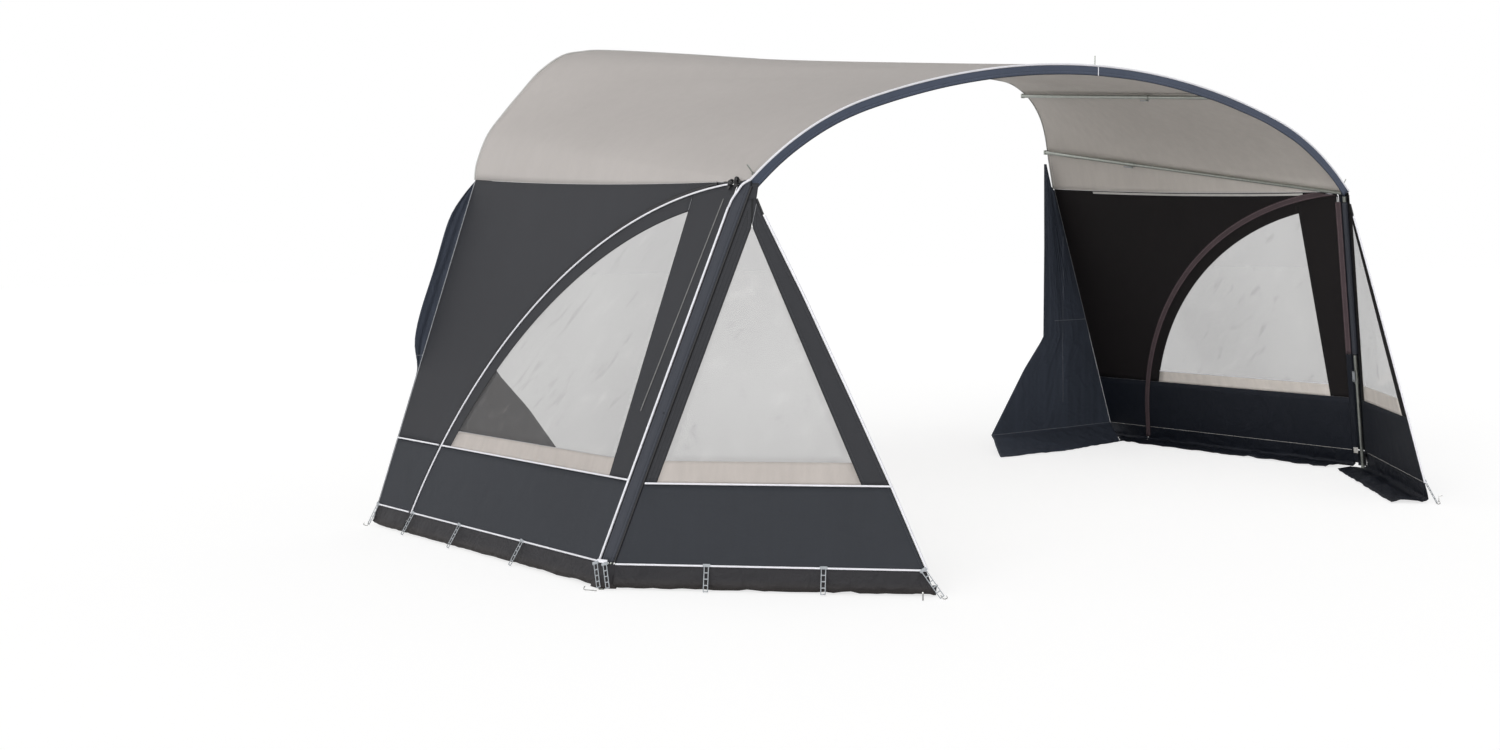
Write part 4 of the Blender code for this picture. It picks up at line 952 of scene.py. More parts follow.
def surface(name, rows, places, seams, zone=None):
    """A grid mesh with its flat map and its seam map."""
    build = bmesh.new()
    cloth_layer = build.loops.layers.uv.new("Cloth")
    seam_layer = build.loops.layers.uv.new("Seam")
    grid = [[build.verts.new(point) for point in row] for row in rows]
    for j in range(len(rows) - 1):
        for i in range(len(rows[0]) - 1):
            spots = ((j, i), (j, i + 1), (j + 1, i + 1), (j + 1, i))
            face = build.faces.new([grid[a][b] for a, b in spots])
            face.smooth = True
            face.material_index = zone(j, i) if zone else 0
            for loop, (a, b) in zip(face.loops, spots):
                loop[cloth_layer].uv = places[a][b]
                loop[seam_layer].uv = seams[a][b]
    bmesh.ops.remove_doubles(build, verts=build.verts[:], dist=WELD)
    loose = [face for face in build.faces if face.calc_area() < 1e-9]
    bmesh.ops.delete(build, geom=loose, context="FACES")
    mesh = bpy.data.meshes.new(name)
    build.to_mesh(mesh)
    build.free()
    made = bpy.data.objects.new(name, mesh)
    bpy.context.scene.collection.objects.link(made)
    return made


def select_only(made):
    bpy.ops.object.select_all(action="DESELECT")
    bpy.context.view_layer.objects.active = made
    made.select_set(True)


def shade_round():
    """Smooth shading of the selected object, with its sharp edges kept."""
    bpy.ops.object.shade_smooth_by_angle(angle=SMOOTH_ANGLE)


def settle(made):
    """Applies the modifiers of one object."""
    select_only(made)
    for modifier in list(made.modifiers):
        bpy.ops.object.modifier_apply(modifier=modifier.name)
    made.select_set(False)


def faces_out(made, outward):
    """Turns the whole sheet round if most of it looks the wrong way."""
    mesh = made.data
    total = sum((face.normal.dot(outward) * face.area for face in mesh.polygons), 0.0)
    if total < 0:
        mesh.flip_normals()


def cloth(
    name,
    rows,
    body,
    looks,
    outward,
    hems=("start", "end", "first", "last"),
    held="stretched",
    rests_on=(),
    stands_for=(),
    slot=None,
    zone=None,
    places=None,
    thickness=None,
):
    """One sheet over a grid of points, with an outer and an inner face and its flat map."""
    sizes = bpy.context.scene.awning_sizes
    places = places or flat_map(rows)
    made = surface(name, rows, places, seam_map(rows, hems), zone)
    faces_out(made, outward)
    for look in looks:
        made.data.materials.append(look_of(look))
    wall = made.modifiers.new("Thickness", "SOLIDIFY")
    wall.thickness = thickness or sizes.cloth
    wall.offset = 0
    wall.material_offset = len(looks) // 2
    settle(made)
    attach(made, body)
    if stands_for:
        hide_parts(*stands_for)
    return made


def bowed(rows, outward, amount, seed, fade=0.12, scale=1.4):
    """Moves the inner points of a sheet in and out a little, as slack cloth does, with its edges kept."""
    seams = seam_map(rows, ("start", "end", "first", "last"))
    moved = []
    for row, line in zip(rows, seams):
        made = []
        for point, (_, inset) in zip(row, line):
            hold = min(1, inset / fade)
            wave = noise.noise(point * scale + Vector((seed, seed, 0)))
            made.append(point + outward * (amount * wave * hold * hold * (3 - 2 * hold)))
        moved.append(made)
    return moved


def plane_rows(plane, rows):
    return [[plane.at(point.x, point.y) for point in row] for row in rows]


def plane_places(rows):
    """The flat places of a sheet that lies in its plane are its places there."""
    return [[(point.x, point.y) for point in row] for row in rows]


def bead(name, points, radius, look, body, stands_for=()):
    """A round cord sewn into a seam, from a bevelled curve."""
    curve = bpy.data.curves.new(name, "CURVE")
    curve.dimensions = "3D"
    curve.bevel_depth = radius
    curve.bevel_resolution = CORD_ROUNDNESS
    curve.use_fill_caps = True
    line = curve.splines.new("POLY")
    line.points.add(len(points) - 1)
    for spot, point in zip(line.points, points):
        spot.co = (*point, 1)
    helper = bpy.data.objects.new(name + "_line", curve)
    bpy.context.scene.collection.objects.link(helper)
    select_only(helper)
    bpy.ops.object.convert(target="MESH")
    made = bpy.context.view_layer.objects.active
    made.name = name
    bpy.ops.object.mode_set(mode="EDIT")
    bpy.ops.mesh.select_all(action="SELECT")
    bpy.ops.mesh.remove_doubles(threshold=WELD)
    bpy.ops.mesh.normals_make_consistent(inside=False)
    bpy.ops.object.mode_set(mode="OBJECT")
    shade_round()
    return finished(made, look, body, stands_for)


def finished(made, look, body, stands_for=()):
    """Gives a piece its one look and the body that it rides on."""
    made.data.materials.clear()
    made.data.materials.append(look_of(look))
    made.select_set(False)
    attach(made, body)
    if stands_for:
        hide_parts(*stands_for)
    return made


def basis(origin, along_way, toward):
    """A matrix whose Z axis runs along the first direction and whose X axis leans to the second."""
    z_axis = Vector(along_way).normalized()
    x_axis = (Vector(toward) - z_axis * Vector(toward).dot(z_axis)).normalized()
    columns = Matrix((x_axis, z_axis.cross(x_axis), z_axis)).transposed()
    return Matrix.Translation(origin) @ columns.to_4x4()


def applied(made, matrix):
    """Puts a fresh primitive in place and applies the place to its mesh."""
    made.matrix_world = matrix
    bpy.ops.object.transform_apply(location=True, rotation=True, scale=True)
    return made


def joined(name, pieces):
    """Makes one object of several, which is left selected."""
    bpy.ops.object.select_all(action="DESELECT")
    for piece in pieces:
        piece.select_set(True)
    bpy.context.view_layer.objects.active = pieces[0]
    bpy.ops.object.join()
    made = bpy.context.view_layer.objects.active
    made.name = name
    return made


# Roof


def roof_columns(side):
    """Side and shares of the arch and the rail for each column of half the roof, from the middle."""
    knots = ((0, 0), (MID_ARCH_SHARE, MID_RAIL_SHARES[side]), (1, SEAM_RAIL_SHARE), (1, 1))
    columns = [(side, *knots[0])]
    for (f, g), (p, q), count in zip(knots, knots[1:], ROOF_KNOT_STEPS):
        for share in steps(0, 1, count)[1:]:
            columns.append((side, f + (p - f) * share, g + (q - g) * share))
    return columns


def roof_at(side, arch_share, rail_share, depth_share, up):
    """A point of the roof, which sags between its rafters and along its side seams."""
    front = arch_at(side * arch_share * ARCH_LENGTH, 0, ARCH_Y + ROOF_EASE)
    rear = rail_at(side, rail_share, -ROOF_EASE)
    weight = max(rail_share - SEAM_RAIL_SHARE, 0) / (1 - SEAM_RAIL_SHARE)
    middle, seam = MID_RAIL_SHARES[side], SEAM_RAIL_SHARE
    if rail_share < middle:
        between = rail_share / middle
    else:
        between = min(1, (rail_share - middle) / (seam - middle))
    sag = SEAM_SAG * weight + ROOF_SAG * math.sin(math.pi * between) ** 2
    return front.lerp(rear, depth_share) - up * (sag * 4 * depth_share * (1 - depth_share))


class AWNING_OT_roof(bpy.types.Operator):
    """Sews the roof, its valance and the piping of the arch and the rail"""

    bl_idname = "awning.roof"
    bl_label = "Roof and valance"

    def execute(self, context):
        sizes = context.scene.awning_sizes
        up = Vector((0, 0, 1))
        columns = [*reversed(roof_columns(-1)[1:]), *roof_columns(1)]
        tilts = {corner.side: corner.wall.up for corner in CORNERS.values()}
        rows = []
        for share in spread(2.3, ROOF_ROWS):
            rows.append([roof_at(side, f, g, share, tilts[side]) for side, f, g in columns])
        rows = bowed(rows, up, sizes.slack / 2, 3, 0.3, 0.9)
        cloth(
            "roof_cloth",
            rows,
            "frame",
            ("roof outside", "roof inside"),
            up,
            ("start", "end"),
            rests_on=["arch_tube_centre", "rafter_rear_tube_centre", "rail_cord"],
            stands_for=["roof_canopy"],
            slot="roof_fabric",
        )
        rail = [rail_at(-1, share) for share in steps(1, 0, 90)][:-1]
        rail += [rail_at(1, share) for share in steps(0, 1, 90)]
        bead("rail_cord", rail, KEDER_RADIUS, "keder", "frame", ["rail_keder"])
        end = ARCH_LENGTH - ARCH_END_TRIM
        lengths = steps(-end, end, 160)
        arch = [arch_at(s) for s in lengths]
        bead("arch_cord", arch, KEDER_RADIUS, "white piping", "frame", ["arch_piping"])
        rows = []
        for inset in (0.0055, 0.009, 0.016, 0.025, 0.034, 0.043, VALANCE_HEIGHT):
            row = []
            for s in lengths:
                sway = (inset / VALANCE_HEIGHT) ** 2
                wave = noise.noise(Vector((s * 3.1, 0.4, 0))) * 0.008 + math.sin(s * 17) * 0.0014
                row.append(arch_at(s, inset, ARCH_Y) + Vector((0, wave * sway, 0)))
            rows.append(row)
        cloth(
            "valance_cloth",
            rows,
            "frame",
            NAVY_LOOKS,
            Vector((0, -1, 0)),
            ("end",),
            "hung",
            ["arch_cord"],
            ["front_valance"],
            "navy_fabric",
        )
        seam = [arch_at(0.004, inset, ARCH_Y - 0.0014) for inset in (0.006, 0.03, 0.049)]
        bead("valance_seam", seam, FINE_CORD_RADIUS, "white piping", "frame")
        corner_spike = ARCH_LENGTH - CORNER_SPIKE_SHIFT
        for j, length in enumerate((0, -corner_spike, corner_spike)):
            place = arch_at(length, -EYELET_LIFT, ARCH_TUBE_Y)
            bpy.ops.object.select_all(action="DESELECT")
            bpy.ops.mesh.primitive_torus_add(**EYELET)
            ring = applied(context.object, basis(place, arch_out(length), Vector((0, 1, 0))))
            ring.name = f"roof_eyelet_{j + 1}"
            bpy.ops.object.shade_smooth()
            finished(ring, "eyelet brass", "frame")
        return {"FINISHED"}


# Side walls


def wall_grid():
    """Flat rows of the fixed side panel, each from the rear edge or the seam across to the zip."""
    radius = TAPE_OUTER + WALL_EASE
    low = SKIRT_TOP + SEAM_MEET
    turn = seam_turn(radius)
    corner_turn = math.radians(42)
    top = seam_height(WALL_SEAM[0][0]) - SEAM_EASE
    rear = resample([(rear_edge(low), low), (rear_edge(top), top)], 30)
    end = zip_at(radius, turn)
    seam = [Vector((a, seam_height(a) - SEAM_EASE)) for a in steps(rear_edge(top), end.x, 60)]
    outer = rear + resample(seam, 44)[1:]
    inner = zip_arc(radius, zip_turn(radius, low), corner_turn, 30)
    inner += zip_arc(radius, corner_turn, turn, 44)[1:]
    return rows_between(outer, inner, spread(1.0, 26))


def skirt_rows(plane, top, hem, rear_at, front_at, depth, columns, mitres, seed):
    """Rows of a skirt with its mud flap: down the plane, round a soft bend and in along the ground."""
    heights = steps(top, hem, HEM_ROW)
    flap_low = plane.height(FLAP_FLOOR + FLAP_ROUND)
    heights += steps(hem, flap_low, 5)[1:]
    shares = spread(front_at(top) - rear_at(top), columns)
    rows = []
    for h in heights:
        start, end = rear_at(h), front_at(h)
        rows.append([plane.at(start + (end - start) * s, h) for s in shares])
    for angle in (30, 60, 90):
        turn = math.radians(angle)
        z = FLAP_FLOOR + FLAP_ROUND * (1 - math.sin(turn))
        h = plane.height(z)
        start, end = rear_at(h), front_at(h)
        level = FLAP_ROUND * (1 - math.cos(turn))
        rows.append([plane.ground(start + (end - start) * s, level, z) for s in shares])
    low = plane.height(FLAP_FLOOR)
    for inward in steps(FLAP_ROUND, depth, 7)[1:]:
        start = rear_at(low) + inward * mitres[0]
        end = front_at(low) - inward * mitres[1]
        rows.append([plane.ground(start + (end - start) * s, inward, FLAP_FLOOR) for s in shares])
    bend_row = len(heights)
    wavy = []
    for j, row in enumerate(rows):
        made = []
        for point in row:
            if j <= HEM_ROW:
                made.append(point)
                continue
            hold = min(1, (j - HEM_ROW) / 4)
            wave = noise.noise(Vector((point.x * 7 + seed, point.y * 7, point.z * 9)))
            fine = noise.noise(Vector((point.x * 21, point.y * 21 + seed, point.z * 12)))
            size = FLAP_CRUMPLE * (wave + 0.5 * fine) * hold
            if j < bend_row:
                made.append(point + plane.out * size)
            else:
                share = max(0, j - bend_row - 2) / 7
                arch = math.sin(math.pi * min(1, share)) ** 0.8
                swell = FLAP_SWELL * (0.55 + 0.45 * wave + 0.3 * fine) * arch
                rise = abs(size) * 1.6
                made.append(Vector((point.x, point.y, point.z + rise + max(0, swell))))
        wavy.append(made)
    return wavy


def lapped(radius, h):
    """The door's edge at the zip, which laps under the foot of the zip on the ground."""
    return zip_point(radius + FLAP_LAP * min(1, max(0, (FLAP_LAP_TOP - h) / 0.008)), h)


def skirt_zone(j, i):
    """The look of a face of a skirt: the skirt itself above the hem, its mud flap below."""
    return 0 if j < HEM_ROW else 1


def skirt(kind, word, plane, rows, body, hems, carrier):
    """One skirt with its mud flap, hung from the piece above it."""
    cloth(
        f"{kind}_skirt_cloth_{word}",
        rows,
        body,
        SKIRT_LOOKS,
        plane.out,
        hems,
        "hung",
        [f"{carrier}_{word}"],
        [f"{kind}_skirt_{word}"],
        "skirt_fabric",
        skirt_zone,
    )


def border(name, rows, plane, body, carrier, stands_for=()):
    """A border of wall cloth, hemmed along both of its long edges."""
    cloth(
        name,
        rows,
        body,
        WALL_LOOKS,
        plane.out,
        ("first", "last"),
        rests_on=[carrier],
        stands_for=stands_for,
        slot="wall_fabric",
    )


def tape(name, rows, looks, outward, carrier, places=None):
    """A strip without hems that hangs from another piece of the frame's cloth."""
    cloth(name, rows, "frame", looks, outward, (), "hung", [carrier], places=places)


def stitches(kind, word, plane, ends, body):
    """The row of stitches inside a hem."""
    line = [plane.at(*p, STITCH_LIFT) for p in ends]
    bead(f"{kind}_stitches_{word}", line, STITCH_RADIUS, "pale webbing", body)


def window(kind, word, plane, panes, strip, waves, band):
    """The foil of a window and the pale strip below it."""
    sizes = bpy.context.scene.awning_sizes
    body = f"{kind}_{word}"
    cloth(
        f"{kind}_foil_{word}",
        bowed(plane_rows(plane, panes), plane.out, sizes.slack, *waves),
        body,
        FOIL_LOOKS,
        plane.out,
        rests_on=[f"{kind}_{band}_band_{word}"],
        stands_for=[f"{kind}_window_{word}"],
        slot="clear_foil",
        places=plane_places(panes),
        thickness=sizes.foil,
    )
    cloth(
        f"{kind}_strip_{word}",
        plane_rows(plane, strip),
        body,
        STRIP_LOOKS,
        plane.out,
        (),
        rests_on=[f"{kind}_foil_{word}"],
        places=plane_places(strip),
    )


class AWNING_OT_walls(bpy.types.Operator):
    """Sews the fixed side panels with their rear skirts, and the draught panels at the rail"""

    bl_idname = "awning.walls"
    bl_label = "Side walls"

    def execute(self, context):
        sizes = context.scene.awning_sizes
        flat = wall_grid()
        for word, corner in CORNERS.items():
            wall = corner.wall
            rows = bowed(plane_rows(wall, flat), wall.out, sizes.slack, 5 + corner.side)
            cloth(
                f"side_wall_{word}",
                rows,
                "frame",
                WALL_LOOKS,
                wall.out,
                ("first", "last"),
                rests_on=["roof_cloth"],
                stands_for=[f"side_panel_{word}"],
                slot="wall_fabric",
                places=plane_places(flat),
            )
            rows = skirt_rows(
                wall,
                SKIRT_TOP - SEAM_MEET,
                HEM,
                rear_edge,
                lambda h: zip_point(TAPE_OUTER + REAR_SKIRT_EASE, h).x,
                FLAP_DEPTH - 0.01,
                12,
                (REAR_MITRE_SHARE, 0),
                2,
            )
            skirt("rear", word, wall, rows, "frame", ("first",), "side_wall")
            for kind, h in (("top", SKIRT_TOP), ("hem", HEM)):
                end = zip_point(TAPE_OUTER, h).x
                ends = [wall.at(a, h, CORD_LIFT) for a in (rear_edge(h) + 0.004, end - 0.003)]
                name = f"rear_skirt_{kind}_cord_{word}"
                bead(name, ends, sizes.thin_piping, "white piping", "frame")
            ends = (rear_edge(HEM) + 0.01, HEM), (end - 0.012, HEM)
            stitches("rear_skirt", word, wall, ends, "frame")
            self.draught(corner, word)
            heights = steps(0.03, seam_height(WALL_SEAM[0][0]) - 0.004, 40)
            edge = [wall.at(rear_edge(h) + 0.0015, h, FLAT_LIFT) for h in heights]
            bead(f"rear_binding_{word}", edge, BINDING_RADIUS, "edge binding", "frame")
            self.webbing(wall, word)
            start = wall.at(rear_edge(HEM) + 0.014, HEM, LADDER_STAND)
            end = wall.ground(0.004, -0.016, 0.009)
            ladder(f"rear_ladder_{word}", start, end, wall.out, "frame", 0.012)
        return {"FINISHED"}

    def webbing(self, wall, word):
        """The pale band sewn under the side seam inside."""
        rows = []
        for a in steps(0.4, 2.08, 40):
            top = seam_height(a) - 0.006
            sway = 0.0015 * noise.noise(Vector((a * 5, 2, 0)))
            row = []
            for drop in (0, 0.004, 0.009, 0.014):
                row.append(wall.at(a, top - drop, -0.0045 - 0.02 * drop + sway))
            rows.append(row)
        tape(f"seam_webbing_{word}", rows, WEBBING_LOOKS, -wall.out, f"side_wall_{word}")

    def draught(self, corner, word):
        """The gathered panel between the side wall and the rail, with its flap on the ground."""
        side = corner.side
        behind = smooth([Vector(point) for point in RETURN_BEHIND])
        rows = []
        for z in steps(RETURN_INNER[0][1], RETURN_HEM, 48):
            inner = line_at(RETURN_INNER, z)
            if z > SEAM_Z:
                outer = line_at(RETURN_SHOULDER, z)
            else:
                outer = abs(corner.wall.at(0, corner.wall.height(z)).x)
            row = []
            drift = 0.5 * noise.noise(Vector((z * 1.1, side, 4)))
            for share in steps(0, 1, RETURN_COLUMNS):
                hold = math.sin(math.pi * share)
                fold = noise.noise(Vector((share * 5.5 + drift, z * 0.4, 1 + side)))
                wave = (0.5 + 0.5 * fold) ** 1.4 * hold**0.7
                fine = 0.006 * noise.noise(Vector((share * 14, z * 6, 7))) * hold
                x = inner + (outer - inner) * share
                row.append(Vector((side * x, RETURN_Y - RETURN_FOLD * wave - abs(fine), z)) + SHIFT)
            width = max(0, line_at(behind, z)) if z < SEAM_Z else 0
            for share in steps(0, 1, BEHIND_COLUMNS)[1:]:
                ripple = 0.003 * (1 + math.sin(share * 11 + z * 4)) * math.sin(math.pi * share)
                row.append(Vector((side * (outer + width * share), RETURN_Y + ripple, z)) + SHIFT)
            rows.append(row)
        last = rows[-1]
        line = [Vector((x, y)) for x, y in RETURN_FLAP]
        for depth in steps(0, 1, 10)[1:]:
            row = []
            for j, point in enumerate(last):
                share = min(1, j / RETURN_COLUMNS)
                spot, _ = along(line, share)
                end = Vector((side * spot.x, spot.y, FLAP_FLOOR)) + SHIFT
                clear = side * RETURN_CLEARANCE * share * min(1, depth * 4)
                start = Vector((point.x - clear, point.y, FLAP_FLOOR))
                made = start.lerp(end, depth**0.8)
                swell = (RETURN_HEM - FLAP_FLOOR) * (1 - depth) ** 1.5
                crumple = noise.noise(Vector((made.x * 6, made.y * 9, side)))
                crumple += 0.5 * noise.noise(made * 17)
                hold = min(1, depth * 4) * (1 - 0.6 * depth)
                row.append(made + Vector((0, 0, swell + 0.02 * abs(crumple) * hold)))
            rows.append(row)
        cloth(
            f"draught_panel_{word}",
            rows,
            "frame",
            DRAUGHT_LOOKS,
            Vector((0, -1, 0)),
            ("first",),
            "gathered",
            ["rail_cord", f"side_wall_{word}"],
            [f"return_panel_{word}"],
            "navy_fabric",
        )


# Doors


def door_edge(h):
    """The edge of a door beside its hinge at a height."""
    return edge_at(WALL_CORNER, h, -(DOOR_HINGE_INSET + DOOR_EASE))


class AWNING_OT_doors(bpy.types.Operator):
    """Sews the zipped doors with their arched windows, skirts, piping and zips"""

    bl_idname = "awning.doors"
    bl_label = "Doors and zips"

    def execute(self, context):
        sizes = context.scene.awning_sizes
        low = SKIRT_TOP + SEAM_MEET
        radius = ZIP_RADIUS - ZIP_EDGE
        top_turn = crossing(radius, lambda a, h: a - door_edge(h).x)
        foot, top = Vector((WINDOW_BOTTOM_A, low)), Vector(WINDOW_TOP)
        way = (top - foot).normalized()
        lap_turn = crossing(radius, lambda a, h: (a - top.x) * way.y - (h - top.y) * way.x)
        window_turn = math.atan2(top.y - ZIP_CENTRE[1], ZIP_CENTRE[0] - top.x)
        outer = zip_arc(radius, zip_turn(radius, low), lap_turn, 60)
        inner = zip_arc(WINDOW_RADIUS, zip_turn(WINDOW_RADIUS, low), window_turn, 60)
        arc_band = rows_between(outer, inner, spread(0.08, 8))
        left = resample([foot, top, outer[-1]], 60)
        right = resample([door_edge(low), zip_at(radius, top_turn)], 60)
        shares = spread(0.3, 12)
        front_band = rows_between(left, right, shares)
        crown = zip_arc(radius, lap_turn, top_turn, 40)
        for j, row in enumerate(front_band):
            hold = max(0, j / 60 * 8 - 7)
            for i, share in enumerate(shares):
                target, _ = along(crown, share)
                row[i] = row[i] + (target - left[-1].lerp(right[-1], share)) * hold
        panes, strip = [], []
        for target, heights in (
            (panes, steps(STRIP_TOP, top.y, 40)),
            (strip, steps(low, STRIP_TOP, 6)),
        ):
            for h in heights:
                start = zip_at(WINDOW_RADIUS, min(zip_turn(WINDOW_RADIUS, h), window_turn))
                end = foot.lerp(top, (h - low) / (top.y - low))
                width = end.x - start.x
                target.append([Vector((start.x + width * s, h)) for s in steps(0, 1, 24)])
        for word, corner in CORNERS.items():
            wall = corner.wall
            body = f"door_{word}"
            arc_name = f"door_arc_band_{word}"
            rows = plane_rows(wall, arc_band)
            border(arc_name, rows, wall, body, f"zip_tape_{word}", [f"door_panel_{word}"])
            rows = bowed(plane_rows(wall, front_band), wall.out, sizes.slack / 2, 8)
            border(f"door_front_band_{word}", rows, wall, body, arc_name)
            window("door", word, wall, panes, strip, (11, 0.2, 1.1), "arc")
            rows = skirt_rows(
                wall,
                SKIRT_TOP - SEAM_MEET,
                HEM,
                lambda h: lapped(ZIP_RADIUS - DOOR_EASE, h).x,
                lambda h: door_edge(h).x,
                FLAP_DEPTH,
                44,
                (0, MITRE_SHARE),
                4 + corner.side,
            )
            skirt("door", word, wall, rows, body, ("end",), "door_arc_band")
            self.trim(corner, word, sizes)
        return {"FINISHED"}

    def trim(self, corner, word, sizes):
        """Piping, zip, cover tape, second zip and ladders of one door."""
        wall = corner.wall
        body = f"door_{word}"
        hinge = [corner.wall_edge(z, DOOR_HINGE_INSET, CORD_PROUD) for z in (0.105, TOP_CORD_START)]
        stands_for = [f"door_piping_{word}"]
        name = f"door_hinge_cord_{word}"
        bead(name, resample(hinge, 24), sizes.piping, "white piping", body, stands_for)
        heights = (TOP_CORD_START + 0.002, SLEEVE_TOP)
        rest = [corner.wall_edge(z, DOOR_HINGE_INSET, 0.002) for z in heights]
        bead(f"door_top_cord_{word}", rest, DOOR_TOP_RADIUS, "dark piping", body)
        arc_top = crossing(ZIP_RADIUS, lambda a, h: a - edge_at(WALL_CORNER, h, -ARC_CORD_END).x)
        arc = zip_arc(ZIP_RADIUS, zip_turn(ZIP_RADIUS, HEM - 0.005), arc_top, 90)
        line = [wall.at(*p, CORD_PROUD) for p in arc]
        bead(f"door_arc_cord_{word}", line, sizes.thin_piping, "white piping", body)
        for kind, h in (("seam", SKIRT_TOP), ("hem", HEM)):
            ends = zip_point(ZIP_RADIUS, h), edge_at(WALL_CORNER, h, -DOOR_HINGE_INSET)
            line = [wall.at(*p, CORD_LIFT) for p in resample(ends, 12)]
            bead(f"door_{kind}_cord_{word}", line, sizes.thin_piping, "white piping", body)
        near, far = zip_point(ZIP_RADIUS, HEM).x + 0.014, edge_at(WALL_CORNER, HEM, -0.09).x
        stitches("door", word, wall, ((near, HEM), (far, HEM)), body)
        end_inner = min(
            seam_turn(TAPE_INNER),
            crossing(TAPE_INNER, lambda a, h: a - door_edge(h).x),
        )
        end_outer = seam_turn(TAPE_OUTER)
        inner = zip_arc(TAPE_INNER, zip_turn(TAPE_INNER, TAPE_BOTTOM), end_inner, 120)
        outer = zip_arc(TAPE_OUTER, zip_turn(TAPE_OUTER, TAPE_BOTTOM), end_outer, 120)
        coil = rows_between(inner, outer, steps(0, 1, 6))
        cloth(
            f"zip_tape_{word}",
            plane_rows(wall, coil),
            "frame",
            ("zip coil", "zip coil"),
            wall.out,
            (),
            rests_on=[f"side_wall_{word}"],
            stands_for=[f"zip_strip_{word}"],
            slot="zip_tape",
            places=zip_map(coil),
            thickness=0.0016,
        )
        near, far = (ZIP_RADIUS + inset for inset in COVER_INSETS)
        inner = zip_arc(near, zip_turn(near, COVER_BOTTOM), end_inner - 0.002, 120)
        outer = zip_arc(far, zip_turn(far, COVER_BOTTOM), end_outer - 0.008, 120)
        cover = rows_between(inner, outer, steps(0, 1, 6))
        rows = []
        for j, row in enumerate(cover):
            wave = 0.0012 * math.sin(j * 0.9) + 0.0015 * noise.noise(Vector((j * 0.15, 3, 0)))
            flare = COVER_FLARE * max(0, (HEM - row[0].y) / (HEM - COVER_BOTTOM))
            lift = -COVER_SHIFT - flare
            made = []
            for i, p in enumerate(row):
                made.append(wall.at(p.x, p.y, wave * math.sin(math.pi * i / 6) + lift))
            rows.append(made)
        carrier = f"zip_tape_{word}"
        tape(f"zip_cover_{word}", rows, COVER_LOOKS, wall.out, carrier, zip_map(cover))
        start, end = (Vector(p) for p in SIDE_ZIP)
        across = Vector((start.y - end.y, end.x - start.x)).normalized() * 0.005
        line = resample([start, end], 30)
        shares = (-1, -0.5, 0, 0.5, 1)
        rows = [[wall.at(*(p + across * s), FLAT_LIFT) for s in shares] for p in line]
        cloth(
            f"door_side_zip_{word}",
            rows,
            body,
            ("side zip coil", "zip coil"),
            wall.out,
            (),
            rests_on=[f"door_front_band_{word}"],
            thickness=0.0012,
        )
        ends = zip_point(WINDOW_RADIUS + 0.004, STRIP_TOP), (WINDOW_BOTTOM_A + 0.006, STRIP_TOP)
        line = [wall.at(*p, -0.0018) for p in resample(ends, 12)]
        bead(f"door_strip_cord_{word}", line, FINE_CORD_RADIUS, "white piping", body)
        top = Vector(WINDOW_TOP)
        way = (top - Vector((WINDOW_BOTTOM_A, SKIRT_TOP))).normalized()
        lap = [wall.at(*(top + way * reach), FLAT_LIFT) for reach in (0.004, 0.03, 0.056)]
        bead(f"door_lap_{word}", lap, LAP_RADIUS, "edge binding", body)
        for j, a in enumerate(DOOR_LADDERS):
            end = wall.ground(a - LADDER_SLANT, -LADDER_LEAN, 0.006)
            start = wall.at(a, HEM, LADDER_STAND)
            ladder(f"door_ladder_{j + 1}_{word}", start, end, wall.out, body)


# Ladders and pegs


def ladder(name, start, end, outward, body, peg=0.0):
    """A moulded peg ladder of two rails and rungs, with its clip on the hem and a peg if asked."""
    down = (end - start).normalized()
    length = (end - start).length
    front = (outward - down * outward.dot(down)).normalized()
    place = basis(start, front, down.cross(front))
    count = max(3, round(length / LADDER_PITCH))
    pitch = (length - LADDER_RUNG) / count
    rows = 2 * count + 1
    half = LADDER_WIDTH / 2
    widths = (-half, LADDER_RAIL - half, half - LADDER_RAIL, half)
    bpy.ops.object.select_all(action="DESELECT")
    bpy.ops.mesh.primitive_grid_add(x_subdivisions=3, y_subdivisions=rows, size=1)
    made = context_object(name)
    mesh = made.data
    for vertex in mesh.vertices:
        i = round((vertex.co.x + 0.5) * 3)
        j = round((vertex.co.y + 0.5) * rows)
        vertex.co = (widths[i], j // 2 * pitch + j % 2 * LADDER_RUNG, 0)
    holes = []
    for face in mesh.polygons:
        middle = face.center
        holes.append(abs(middle.x) < half - LADDER_RAIL and middle.y % pitch > LADDER_RUNG)
    edit_faces(made, holes)
    bpy.ops.mesh.delete(type="FACE")
    bpy.ops.object.mode_set(mode="OBJECT")
    wall = made.modifiers.new("Thickness", "SOLIDIFY")
    wall.thickness = LADDER_THICKNESS
    wall.offset = 0
    bevel = made.modifiers.new("Round", "BEVEL")
    bevel.width = LADDER_ROUND
    settle(made)
    made.select_set(True)
    applied(made, place)
    size = (LADDER_WIDTH + CLIP_EXTRA, CLIP_HEIGHT, CLIP_DEPTH)
    clip = block(start - down * 0.002, place, size)
    made = joined(name, [made, clip])
    made.select_set(True)
    shade_round()
    finished(made, "ladder plastic", body)
    if peg:
        level = Vector((down.x, down.y, 0)).normalized()
        tail = end - down * 0.012 + front * 0.004
        floor = Vector((0, 0, PEG_WIRE + PEG_LIFT))
        foot = Vector((end.x, end.y, 0)) + level * 0.004 + floor
        bend = [tail, foot, foot + level * peg]
        bend.append(foot + level * (peg + 0.009) + Vector((0, 0, 0.006)))
        bend.append(foot + level * (peg + 0.004) + Vector((0, 0, 0.014)))
        bead(name + "_peg", smooth(bend, PEG_STEPS), PEG_WIRE, "plated steel", body)
    return made


def context_object(name):
    """The primitive just added, with its name."""
    made = bpy.context.object
    made.name = name
    return made


